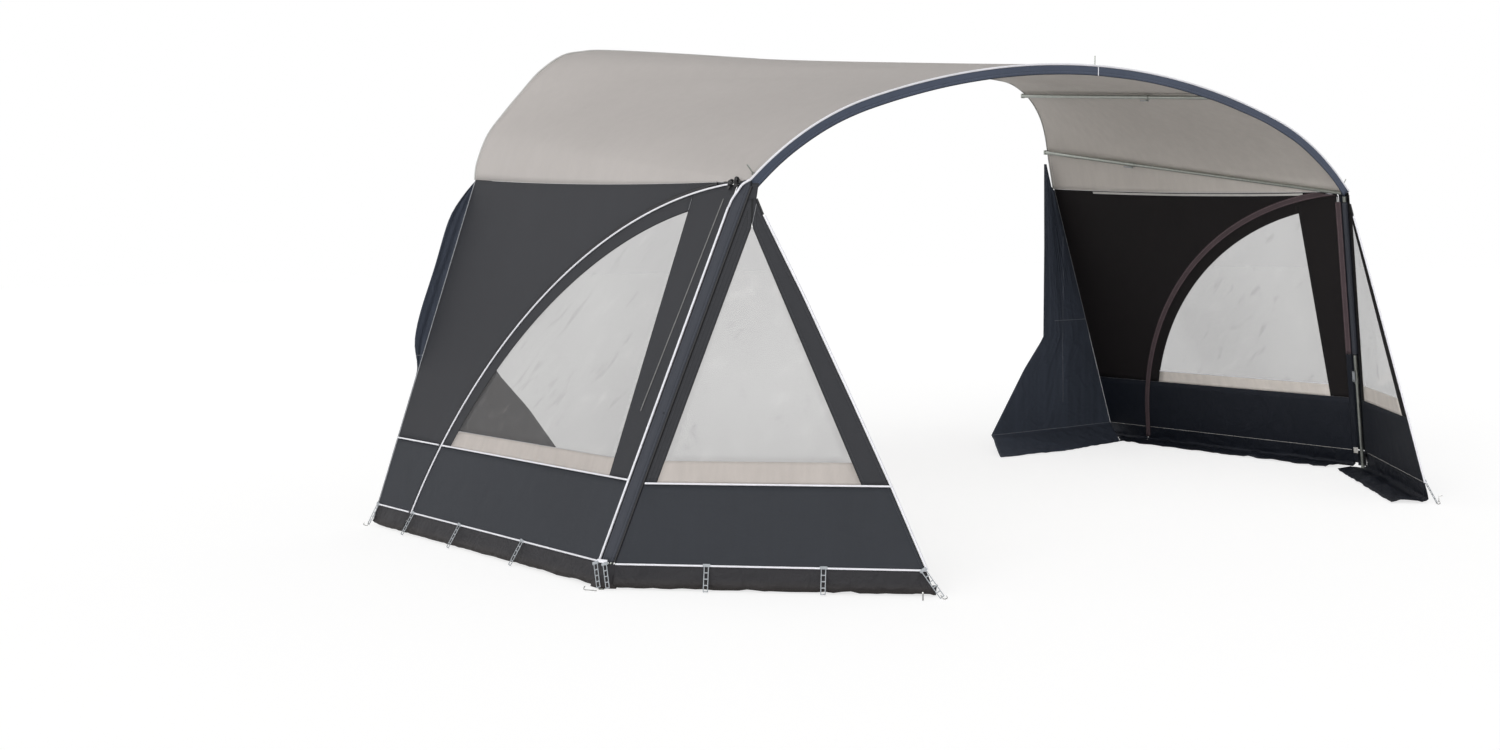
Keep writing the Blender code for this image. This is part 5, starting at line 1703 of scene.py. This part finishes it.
def edit_faces(made, chosen):
    """Enters edit mode with only the chosen faces selected."""
    bpy.ops.object.mode_set(mode="EDIT")
    bpy.ops.mesh.select_mode(type="FACE")
    bpy.ops.mesh.select_all(action="DESELECT")
    bpy.ops.object.mode_set(mode="OBJECT")
    for face, is_chosen in zip(made.data.polygons, chosen):
        face.select = is_chosen
    bpy.ops.object.mode_set(mode="EDIT")


def block(centre, place, size):
    """A small moulded block with round edges and a sunk face, turned as the place is."""
    bpy.ops.object.select_all(action="DESELECT")
    bpy.ops.mesh.primitive_cube_add(size=1)
    made = context_object("block")
    made.scale = size
    bpy.ops.object.transform_apply(location=False, rotation=False, scale=True)
    edit_faces(made, [face.normal.z > 0.9 for face in made.data.polygons])
    bpy.ops.mesh.inset(thickness=min(size) * 0.25, depth=-min(size) * 0.12)
    bpy.ops.object.mode_set(mode="OBJECT")
    bevel = made.modifiers.new("Round", "BEVEL")
    bevel.width = min(size) * 0.22
    bevel.segments = 2
    bevel.limit_method = "ANGLE"
    settle(made)
    made.select_set(True)
    turn = place.to_3x3().to_4x4()
    return applied(made, Matrix.Translation(centre) @ turn)


# Wings


class AWNING_OT_wings(bpy.types.Operator):
    """Sews the storm wings with their pointed windows, skirts and piping"""

    bl_idname = "awning.wings"
    bl_label = "Storm wings"

    def execute(self, context):
        sizes = context.scene.awning_sizes
        low = WING_SKIRT_TOP + SEAM_MEET
        margin = WING_HINGE_INSET + 0.0045
        top_a, top_h = WING_CORNER[1]
        trim = 0.006 * math.hypot(1, top_a / top_h)

        def hinge(h):
            return edge_at(WING_CORNER, h, margin)

        def outer_at(h):
            return Vector((line_at(WING_OUTER, h) - trim, h))

        apex = Vector(WING_WINDOW_TOP)
        left_foot, right_foot = (Vector((a, low)) for a in WING_WINDOW_FEET)
        top_left = hinge(WING_OUTER[0][1])
        top_right = outer_at(WING_OUTER[0][1])
        top_middle = top_left.lerp(top_right, 0.55)
        near_line = resample([hinge(low), top_left], 50)
        left_line = resample([left_foot, apex, top_middle], 50)
        left_band = rows_between(near_line, left_line, spread(0.16, 8))
        right_line = resample([right_foot, apex, top_middle], 50)
        outer = [outer_at(h) for h in steps(low, WING_OUTER[0][1], 50)]
        right_band = rows_between(right_line, outer, spread(0.12, 8))
        panes, strip = [], []
        for target, heights in (
            (panes, steps(WING_STRIP_TOP, apex.y, 36)),
            (strip, steps(low, WING_STRIP_TOP, 6)),
        ):
            for h in heights:
                share = (h - low) / (apex.y - low)
                near, far = left_foot.lerp(apex, share), right_foot.lerp(apex, share)
                target.append([near.lerp(far, s) for s in steps(0, 1, 20)])
        for word, corner in CORNERS.items():
            wing = corner.wing
            body = f"wing_{word}"
            inner_name = f"wing_inner_band_{word}"
            rows = plane_rows(wing, left_band)
            border(inner_name, rows, wing, body, f"corner_strip_{word}", [f"wing_panel_{word}"])
            rows = plane_rows(wing, right_band)
            border(f"wing_outer_band_{word}", rows, wing, body, inner_name)
            window("wing", word, wing, panes, strip, (17, 0.15, 1.3), "inner")
            rows = skirt_rows(
                wing,
                WING_SKIRT_TOP - SEAM_MEET,
                WING_HEM,
                lambda h: max(
                    hinge(h).x, WING_FLAP_START * min(1, max(0, (0.105 - h) / 0.02))
                ),
                lambda h: outer_at(h).x,
                FLAP_DEPTH,
                36,
                (MITRE_SHARE, 0),
                9 + corner.side,
            )
            skirt("wing", word, wing, rows, body, ("end", "last"), "wing_inner_band")
            self.trim(corner, word, sizes, margin)
        return {"FINISHED"}

    def trim(self, corner, word, sizes, margin):
        """Piping, stitches and ladders of one wing."""
        wing = corner.wing
        body = f"wing_{word}"
        tip = line_at(WING_OUTER, WING_HEM)
        path = [Vector(p) for p in WING_OUTER if p[1] > WING_HEM] + [Vector((tip, WING_HEM))]
        line = [wing.at(*p) for p in smooth(path[1:], 10)]
        stands_for = [f"wing_piping_{word}"]
        name = f"wing_edge_cord_{word}"
        bead(name, line, sizes.piping, "white piping", body, stands_for)
        ends = path[0], path[1] + (path[0] - path[1]) * 0.09
        rest = [wing.at(p.x - 0.003, p.y) for p in resample(ends, 6)]
        bead(f"wing_top_cord_{word}", rest, WING_TOP_RADIUS, "dark piping", body)
        ends = edge_at(WING_CORNER, WING_HEM, 0.08), Vector((tip - 0.02, WING_HEM))
        stitches("wing", word, wing, ends, body)
        for kind, h in (("seam", WING_SKIRT_TOP), ("hem", WING_HEM)):
            ends = edge_at(WING_CORNER, h, margin + 0.004), Vector((line_at(WING_OUTER, h), h))
            line = [wing.at(*p, CORD_LIFT) for p in resample(ends, 12)]
            bead(f"wing_{kind}_cord_{word}", line, sizes.thin_piping, "white piping", body)
        for j, a in enumerate(WING_LADDERS):
            start = wing.at(a, WING_HEM, LADDER_STAND)
            end = wing.ground(a, -LADDER_LEAN, 0.006)
            ladder(f"wing_ladder_{j + 1}_{word}", start, end, wing.out, body)
        start = wing.at(tip - 0.016, WING_HEM, LADDER_STAND)
        end = wing.ground(tip + 0.062, -0.03, 0.009)
        ladder(f"wing_tip_ladder_{word}", start, end, wing.out, body, 0.01)
        apex = Vector(WING_WINDOW_TOP)
        rise = Vector((0.02, 0.1)).normalized()
        lap = [wing.at(*(apex + rise * reach), FLAT_LIFT) for reach in (0.004, 0.05, 0.096)]
        bead(f"wing_lap_{word}", lap, LAP_RADIUS, "edge binding", body)


# Corners


class AWNING_OT_corners(bpy.types.Operator):
    """Sews the strip and the pocket over each corner upright, with its cover tape and its ladders"""

    bl_idname = "awning.corners"
    bl_label = "Corner strips"

    def execute(self, context):
        sizes = context.scene.awning_sizes
        for word, corner in CORNERS.items():
            rows = []
            levels = [(z, 0) for z in steps(SLEEVE_BOTTOM, SLEEVE_TOP, 48)]
            levels += [(SLEEVE_TOP + CAP_RISE * rise, rise) for rise in steps(0, 1, CAP_ROWS)[1:]]
            for z, rise in levels:
                push = CAP_PUSH * rise
                inset = (DOOR_HINGE_INSET - STRIP_GAP) * (1 - rise * rise * 0.8)
                first = corner.wall_edge(z, inset, push)
                ridge = corner.wall_edge(z, 0) - corner.inward * push
                last = corner.wing_edge(z, WING_HINGE_INSET * (1 - 0.3 * rise), push * 0.4)
                row = [first.lerp(ridge, s) for s in (0, 0.08, 0.4, 0.7, 0.9)]
                soft = ridge + corner.inward * 0.0022
                row += [soft] + [ridge.lerp(last, s) for s in (0.25, 0.6, 1)]
                wave = 0.0016 * noise.noise(Vector((z * 6, corner.side, 0)))
                made = []
                for i, p in enumerate(row):
                    made.append(p + corner.wall.out * wave * math.sin(math.pi * i / 8))
                rows.append(made)
            cloth(
                f"corner_strip_{word}",
                rows,
                "frame",
                ("corner cloth", "skirt inside"),
                corner.wall.out,
                ("first", "last"),
                rests_on=[f"leg_upper_tube_{word}"],
                stands_for=[f"corner_sleeve_{word}"],
                slot="navy_fabric",
            )
            heights = steps(SLEEVE_BOTTOM, SLEEVE_TOP, 20)
            line = [corner.wing_edge(z, WING_HINGE_INSET + 0.0012, 0.0026) for z in heights]
            bead(f"corner_dark_cord_{word}", line, CORNER_CORD_RADIUS, "dark piping", "frame")
            end = arch_at(corner.side * (ARCH_LENGTH - ARCH_END_TRIM))
            path = [corner.wall_edge(TOP_CORD_START + 0.001, TOP_CORD_INSET, CORD_PROUD)]
            for rise in (0.3, 0.6, 0.85):
                z = TOP_CORD_START + (SLEEVE_TOP + 0.02 - TOP_CORD_START) * rise
                inset = TOP_CORD_INSET * (1 - rise**1.6)
                path.append(corner.wall_edge(z, inset, 0.0065 + 0.008 * rise**3))
            path += [end + Vector((corner.side * 0.009, 0.004, -0.004)), end]
            name = f"corner_top_cord_{word}"
            bead(name, smooth(path, CURVE_STEPS), sizes.piping, "white piping", "frame")
            self.gusset(corner, word)
            self.flap(corner, word)
            self.cover(corner, word)
            self.pocket(corner, word)
            self.fastenings(corner, word)
        return {"FINISHED"}

    def gusset(self, corner, word):
        """The small piece of cloth that closes the corner between the wing and the valance."""
        wing = corner.wing
        low = WING_OUTER[0][1] - 0.008
        rows = []
        for h in steps(low, GUSSET_TOP, 6):
            share = (h - low) / (GUSSET_TOP - low)
            near = edge_at(WING_CORNER, h, WING_HINGE_INSET - 0.003)
            far = Vector((WING_OUTER[0][0] - 0.0064 + 0.01 * share, h))
            rows.append([wing.at(*near.lerp(far, s), GUSSET_LIFT) for s in steps(0, 1, 6)])
        cloth(
            f"wing_gusset_{word}",
            rows,
            "frame",
            WALL_LOOKS,
            wing.out,
            (),
            rests_on=[f"corner_strip_{word}"],
        )

    def flap(self, corner, word):
        """The folded mud flap under the corner strip."""
        rows = []
        for z in steps(SLEEVE_BOTTOM - 0.008, 0.006, 12):
            share = 1 - z / SLEEVE_BOTTOM
            swell = 0.006 * math.sin(math.pi * share) + 0.004 * share
            first = corner.wall_edge(z, DOOR_HINGE_INSET - 0.009, swell + 0.002)
            ridge = corner.wall_edge(z, 0) - corner.inward * (swell + 0.002)
            last = corner.wing_edge(z, 0.066, -0.005 - swell)
            row = [first.lerp(ridge, s) for s in steps(0, 1, 8)]
            row += [ridge.lerp(last, s) for s in steps(0, 1, 8)[1:]]
            made = []
            for point in row:
                crumple = noise.noise(Vector((point.x * 30, point.y * 30, point.z * 24)))
                made.append(point - corner.inward * (0.0035 * crumple * min(1, share * 3)))
            rows.append(made)
        tape(f"corner_flap_{word}", rows, FLAP_LOOKS, -corner.inward, f"corner_strip_{word}")

    def cover(self, corner, word):
        """The tapes that hide the hinge piping inside, and the pale tab at the foot of the upright."""
        near, far = CORNER_COVER_INSETS
        carrier = f"corner_strip_{word}"
        for kind, look, low, high in (
            ("cover", "zip cover", POCKET_BOTTOM, POCKET_TOP),
            ("backing", "skirt inside", 0.03, POCKET_BOTTOM - 0.001),
        ):
            rows = []
            for z in steps(low, high, 40):
                wave = 0.0012 * noise.noise(Vector((z * 7, 1, corner.side)))
                row = []
                for j in range(7):
                    inset = near + (far - near) * j / 6
                    lift = wave * math.sin(math.pi * j / 6) - COVER_SHIFT
                    row.append(corner.wall_edge(z, inset, lift))
                rows.append(row)
            tape(f"corner_{kind}_{word}", rows, (look, look), -corner.wall.out, carrier)
        rows = []
        for z in steps(*FOOT_TAB_HEIGHTS, 6):
            insets = [FOOT_TAB_INSET + 0.032 * s for s in steps(0, 1, 4)]
            rows.append([corner.wall_edge(z, inset, -0.007) for inset in insets])
        tape(f"foot_tab_{word}", rows, WEBBING_LOOKS, -corner.wall.out, carrier)

    def fastenings(self, corner, word):
        """The white plate and the crossed peg ladders at the foot, and the black toggles at the top."""
        wall, wing = corner.wall, corner.wing
        z = SLEEVE_BOTTOM - 0.006
        outward = -corner.inward
        ridge = corner.wall_edge(z, 0)
        across = outward.cross(Vector((0, 0, 1))).normalized()
        if across.dot(wing.ahead) < 0:
            across = -across
        foot = Vector((corner.foot.x, corner.foot.y, 0))
        level = Vector((outward.x, outward.y, 0)).normalized()
        ladders = (-0.054, 0.01, 0.016), (-0.006, 0.054, 0.018)
        for j, (near, far, stand) in enumerate(ladders):
            start = ridge + level * stand + across * near
            end = foot + level * (stand - 0.006 * j) + across * far + Vector((0, 0, 0.014))
            ladder(f"corner_ladder_{j + 1}_{word}", start, end, level, "frame")
        spot = foot + level * 0.034 + Vector((0, 0, PEG_WIRE + PEG_LIFT))
        bend = [spot + across * 0.012, spot - across * 0.01]
        bend.append(spot - across * 0.045 + level * 0.004)
        bend.append(spot - across * 0.052 + Vector((0, 0, 0.006)))
        bend.append(spot - across * 0.046 + Vector((0, 0, 0.013)))
        bead(f"corner_peg_{word}", smooth(bend, PEG_STEPS), PEG_WIRE, "plated steel", "frame")
        centre = ridge + level * 0.011 - across * 0.022 + Vector((0, 0, 0.012))
        plate = block(centre, basis(ridge, level, across), PLATE)
        plate.name = f"corner_plate_{word}"
        shade_round()
        finished(plate, "white piping", "frame")
        for name, inset, height, turn in (
            ("corner_toggle", 0.05, 1.706, 0.5),
            ("zip_toggle", 0.088, 1.699, -0.4),
        ):
            spin = Matrix.Rotation(turn, 4, "Z")
            place = basis(corner.wall_edge(height, inset, 0.019), wall.ahead, wall.out) @ spin
            bpy.ops.object.select_all(action="DESELECT")
            bpy.ops.mesh.primitive_torus_add(**TOGGLE_RING)
            ring = applied(bpy.context.object, place @ Matrix.Diagonal((0.8, 1.2, 2, 1)))
            tab = corner.wall_edge(height - 0.012, inset + 0.004, 0.016)
            bar = block(tab, basis(tab, wall.out, wall.ahead) @ spin, TOGGLE_BAR)
            toggle = joined(f"{name}_{word}", [ring, bar])
            toggle.select_set(True)
            shade_round()
            finished(toggle, "black plastic", "frame")

    def pocket(self, corner, word):
        """The sewn tube of cloth round the upright."""
        rows = []
        across = corner.line.cross(corner.inward).normalized()
        for z in steps(POCKET_BOTTOM, POCKET_TOP, 60):
            centre = corner.leg_at(z)
            row = []
            for k in range(25):
                turn = math.tau * k / 24
                x, y = math.cos(turn), math.sin(turn)
                size = POCKET_RADIUS + 0.0012 * noise.noise(Vector((x, y, z * 9)))
                row.append(centre + across * (size * x) + corner.inward * (size * y))
            rows.append(row)
        cloth(
            f"upright_pocket_{word}",
            rows,
            "frame",
            POCKET_LOOKS,
            corner.inward,
            ("start", "end"),
            rests_on=[f"leg_upper_tube_{word}"],
            slot="navy_fabric",
            thickness=0.001,
        )


# Frame


class AWNING_OT_frame(bpy.types.Operator):
    """Gives the tubes, clamps, joints and pegs of the frame their finish"""

    bl_idname = "awning.frame"
    bl_label = "Frame finish"

    def execute(self, context):
        finishes = (
            (
                ("arch_tube", "rafter_rear", "rafter_front", "leg_upper", "leg_lower"),
                "galvanised tube",
            ),
            (("corner_joint", "zip_slider"), "black plastic"),
            (("rafter_lever", "leg_lever"), "ladder plastic"),
            (("tip_peg",), "plated steel"),
        )
        for name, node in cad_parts.items():
            if node.hide_render:
                continue
            for starts, look in finishes:
                if name.startswith(starts):
                    node.data.materials.clear()
                    node.data.materials.append(look_of(look))
                    for face in node.data.polygons:
                        face.use_smooth = True
                    weld = node.modifiers.new("Weld", "WELD")
                    weld.merge_threshold = WELD
                    crisp = node.modifiers.new("Crisp", "EDGE_SPLIT")
                    crisp.split_angle = CRISP_ANGLE
        return {"FINISHED"}


# Stage


class AWNING_OT_stage(bpy.types.Operator):
    """Builds the pale floor, the soft light and the photograph's camera"""

    bl_idname = "awning.stage"
    bl_label = "Stage"

    def execute(self, context):
        self.light(context)
        self.floor(context)
        self.camera(context)
        context.scene.view_settings.view_transform = "Standard"
        return {"FINISHED"}

    def light(self, context):
        """An even sky that lights the awning and is itself seen as white, and the soft main lamp."""
        scene = context.scene
        stage = scene.awning_stage
        world = bpy.data.worlds.new("Studio")
        scene.world = world
        world.use_nodes = True
        tree = world.node_tree
        tree.nodes.clear()
        path = tree.nodes.new("ShaderNodeLightPath")
        seen = tree.nodes.new("ShaderNodeMath")
        seen.operation = "MAXIMUM"
        tree.links.new(path.outputs["Is Camera Ray"], seen.inputs[0])
        tree.links.new(path.outputs["Is Glossy Ray"], seen.inputs[1])
        also = tree.nodes.new("ShaderNodeMath")
        also.operation = "MAXIMUM"
        tree.links.new(seen.outputs[0], also.inputs[0])
        tree.links.new(path.outputs["Is Transmission Ray"], also.inputs[1])
        kinds = ("Background", "Background", "MixShader", "OutputWorld")
        light, white, mix, out = (tree.nodes.new("ShaderNode" + kind) for kind in kinds)
        where = tree.nodes.new("ShaderNodeTexCoord")
        height = tree.nodes.new("ShaderNodeSeparateXYZ")
        tree.links.new(where.outputs["Generated"], height.inputs[0])
        fall = tree.nodes.new("ShaderNodeMapRange")
        tree.links.new(height.outputs[2], fall.inputs[0])
        fall.inputs[3].default_value = stage.sky
        fall.inputs[4].default_value = stage.sky * stage.overhead
        tree.links.new(fall.outputs[0], light.inputs["Strength"])
        light.inputs["Color"].default_value = LIGHT_TINT
        white.inputs["Strength"].default_value = 1
        white.inputs["Color"].default_value = (1, 1, 1, 1)
        tree.links.new(also.outputs[0], mix.inputs[0])
        tree.links.new(light.outputs[0], mix.inputs[1])
        tree.links.new(white.outputs[0], mix.inputs[2])
        tree.links.new(mix.outputs[0], out.inputs[0])
        lamp = bpy.data.lights.new("key", "SUN")
        lamp.energy = stage.key
        lamp.angle = SUN_SPREAD
        key = bpy.data.objects.new("key", lamp)
        scene.collection.objects.link(key)
        key.rotation_euler = (-Vector(SUN_FROM)).to_track_quat("-Z", "Y").to_euler()

    def floor(self, context):
        """The pale floor, which glows a little so that it meets the white behind it."""
        bpy.ops.object.select_all(action="DESELECT")
        bpy.ops.mesh.primitive_plane_add(size=FLOOR_SIZE, location=(0, 0, -FLOOR_DROP))
        floor = context.object
        floor.name = "studio_floor"
        look = Look("studio floor", Roughness=0.9, Specular_IOR_Level=0.1)
        shade = look.span(look.noise(look.place(), 0.6, 3), 0.3, 0.7, 0.995, 1.005)
        look.colour(look.scaled([FLOOR_SHADE] * 3, shade))
        seen = look.node("LightPath")
        share = look.math("MULTIPLY", seen, FLOOR_GLOW_SHARE)
        glow = look.node("Emission", ("Strength", FLOOR_GLOW))
        blend = look.node("MixShader", (0, share), (1, look.shader.outputs[0]), (2, glow))
        look.tree.links.new(blend, look.tree.nodes["Material Output"].inputs["Surface"])
        floor.data.materials.append(look.material)

    def camera(self, context):
        """The camera that took the photograph, as solved from its straight lines."""
        scene = context.scene
        camera = bpy.data.cameras.new("camera")
        camera.lens = scene.awning_stage.lens
        camera.sensor_width = SENSOR
        camera.clip_end = CLIP_END
        holder = bpy.data.objects.new("camera", camera)
        scene.collection.objects.link(holder)
        back = Vector(
            (
                math.sin(CAMERA_YAW) * math.cos(CAMERA_PITCH),
                -math.cos(CAMERA_YAW) * math.cos(CAMERA_PITCH),
                math.sin(CAMERA_PITCH),
            )
        )
        right = (-back).cross(Vector((0, 0, 1))).normalized()
        up = right.cross(-back)
        turned_right = right * math.cos(CAMERA_ROLL) + up * math.sin(CAMERA_ROLL)
        turned_up = up * math.cos(CAMERA_ROLL) - right * math.sin(CAMERA_ROLL)
        axes = Matrix((turned_right, turned_up, back)).transposed()
        holder.matrix_world = Matrix.Translation(CAMERA_PLACE) @ axes.to_4x4()
        scene.camera = holder


class AWNING_PT_panel(bpy.types.Panel):
    """Sizes, colours and steps of the awning"""

    bl_idname = "AWNING_PT_panel"
    bl_label = "Awning"
    bl_space_type = "VIEW_3D"
    bl_region_type = "UI"
    bl_category = "Awning"

    def draw(self, context):
        scene = context.scene
        for group in (scene.awning_sizes, scene.awning_colours, scene.awning_stage):
            column = self.layout.column()
            for name in group.bl_rna.properties.keys():
                if name not in ("rna_type", "name"):
                    column.prop(group, name)
        for step in STEPS:
            self.layout.operator(step.bl_idname)


STEPS = (
    AWNING_OT_roof,
    AWNING_OT_walls,
    AWNING_OT_doors,
    AWNING_OT_wings,
    AWNING_OT_corners,
    AWNING_OT_frame,
    AWNING_OT_stage,
)
CLASSES = (AwningSizes, AwningColours, AwningStage, *STEPS, AWNING_PT_panel)


def register():
    for kind in CLASSES:
        bpy.utils.register_class(kind)
    bpy.types.Scene.awning_sizes = bpy.props.PointerProperty(type=AwningSizes)
    bpy.types.Scene.awning_colours = bpy.props.PointerProperty(type=AwningColours)
    bpy.types.Scene.awning_stage = bpy.props.PointerProperty(type=AwningStage)


def unregister():
    del bpy.types.Scene.awning_stage
    del bpy.types.Scene.awning_colours
    del bpy.types.Scene.awning_sizes
    for kind in reversed(CLASSES):
        bpy.utils.unregister_class(kind)


def main():
    register()
    make_looks(bpy.context)
    bpy.ops.awning.roof()
    bpy.ops.awning.walls()
    bpy.ops.awning.doors()
    bpy.ops.awning.wings()
    bpy.ops.awning.corners()
    bpy.ops.awning.frame()
    bpy.ops.awning.stage()


if __name__ == "__main__":
    main()
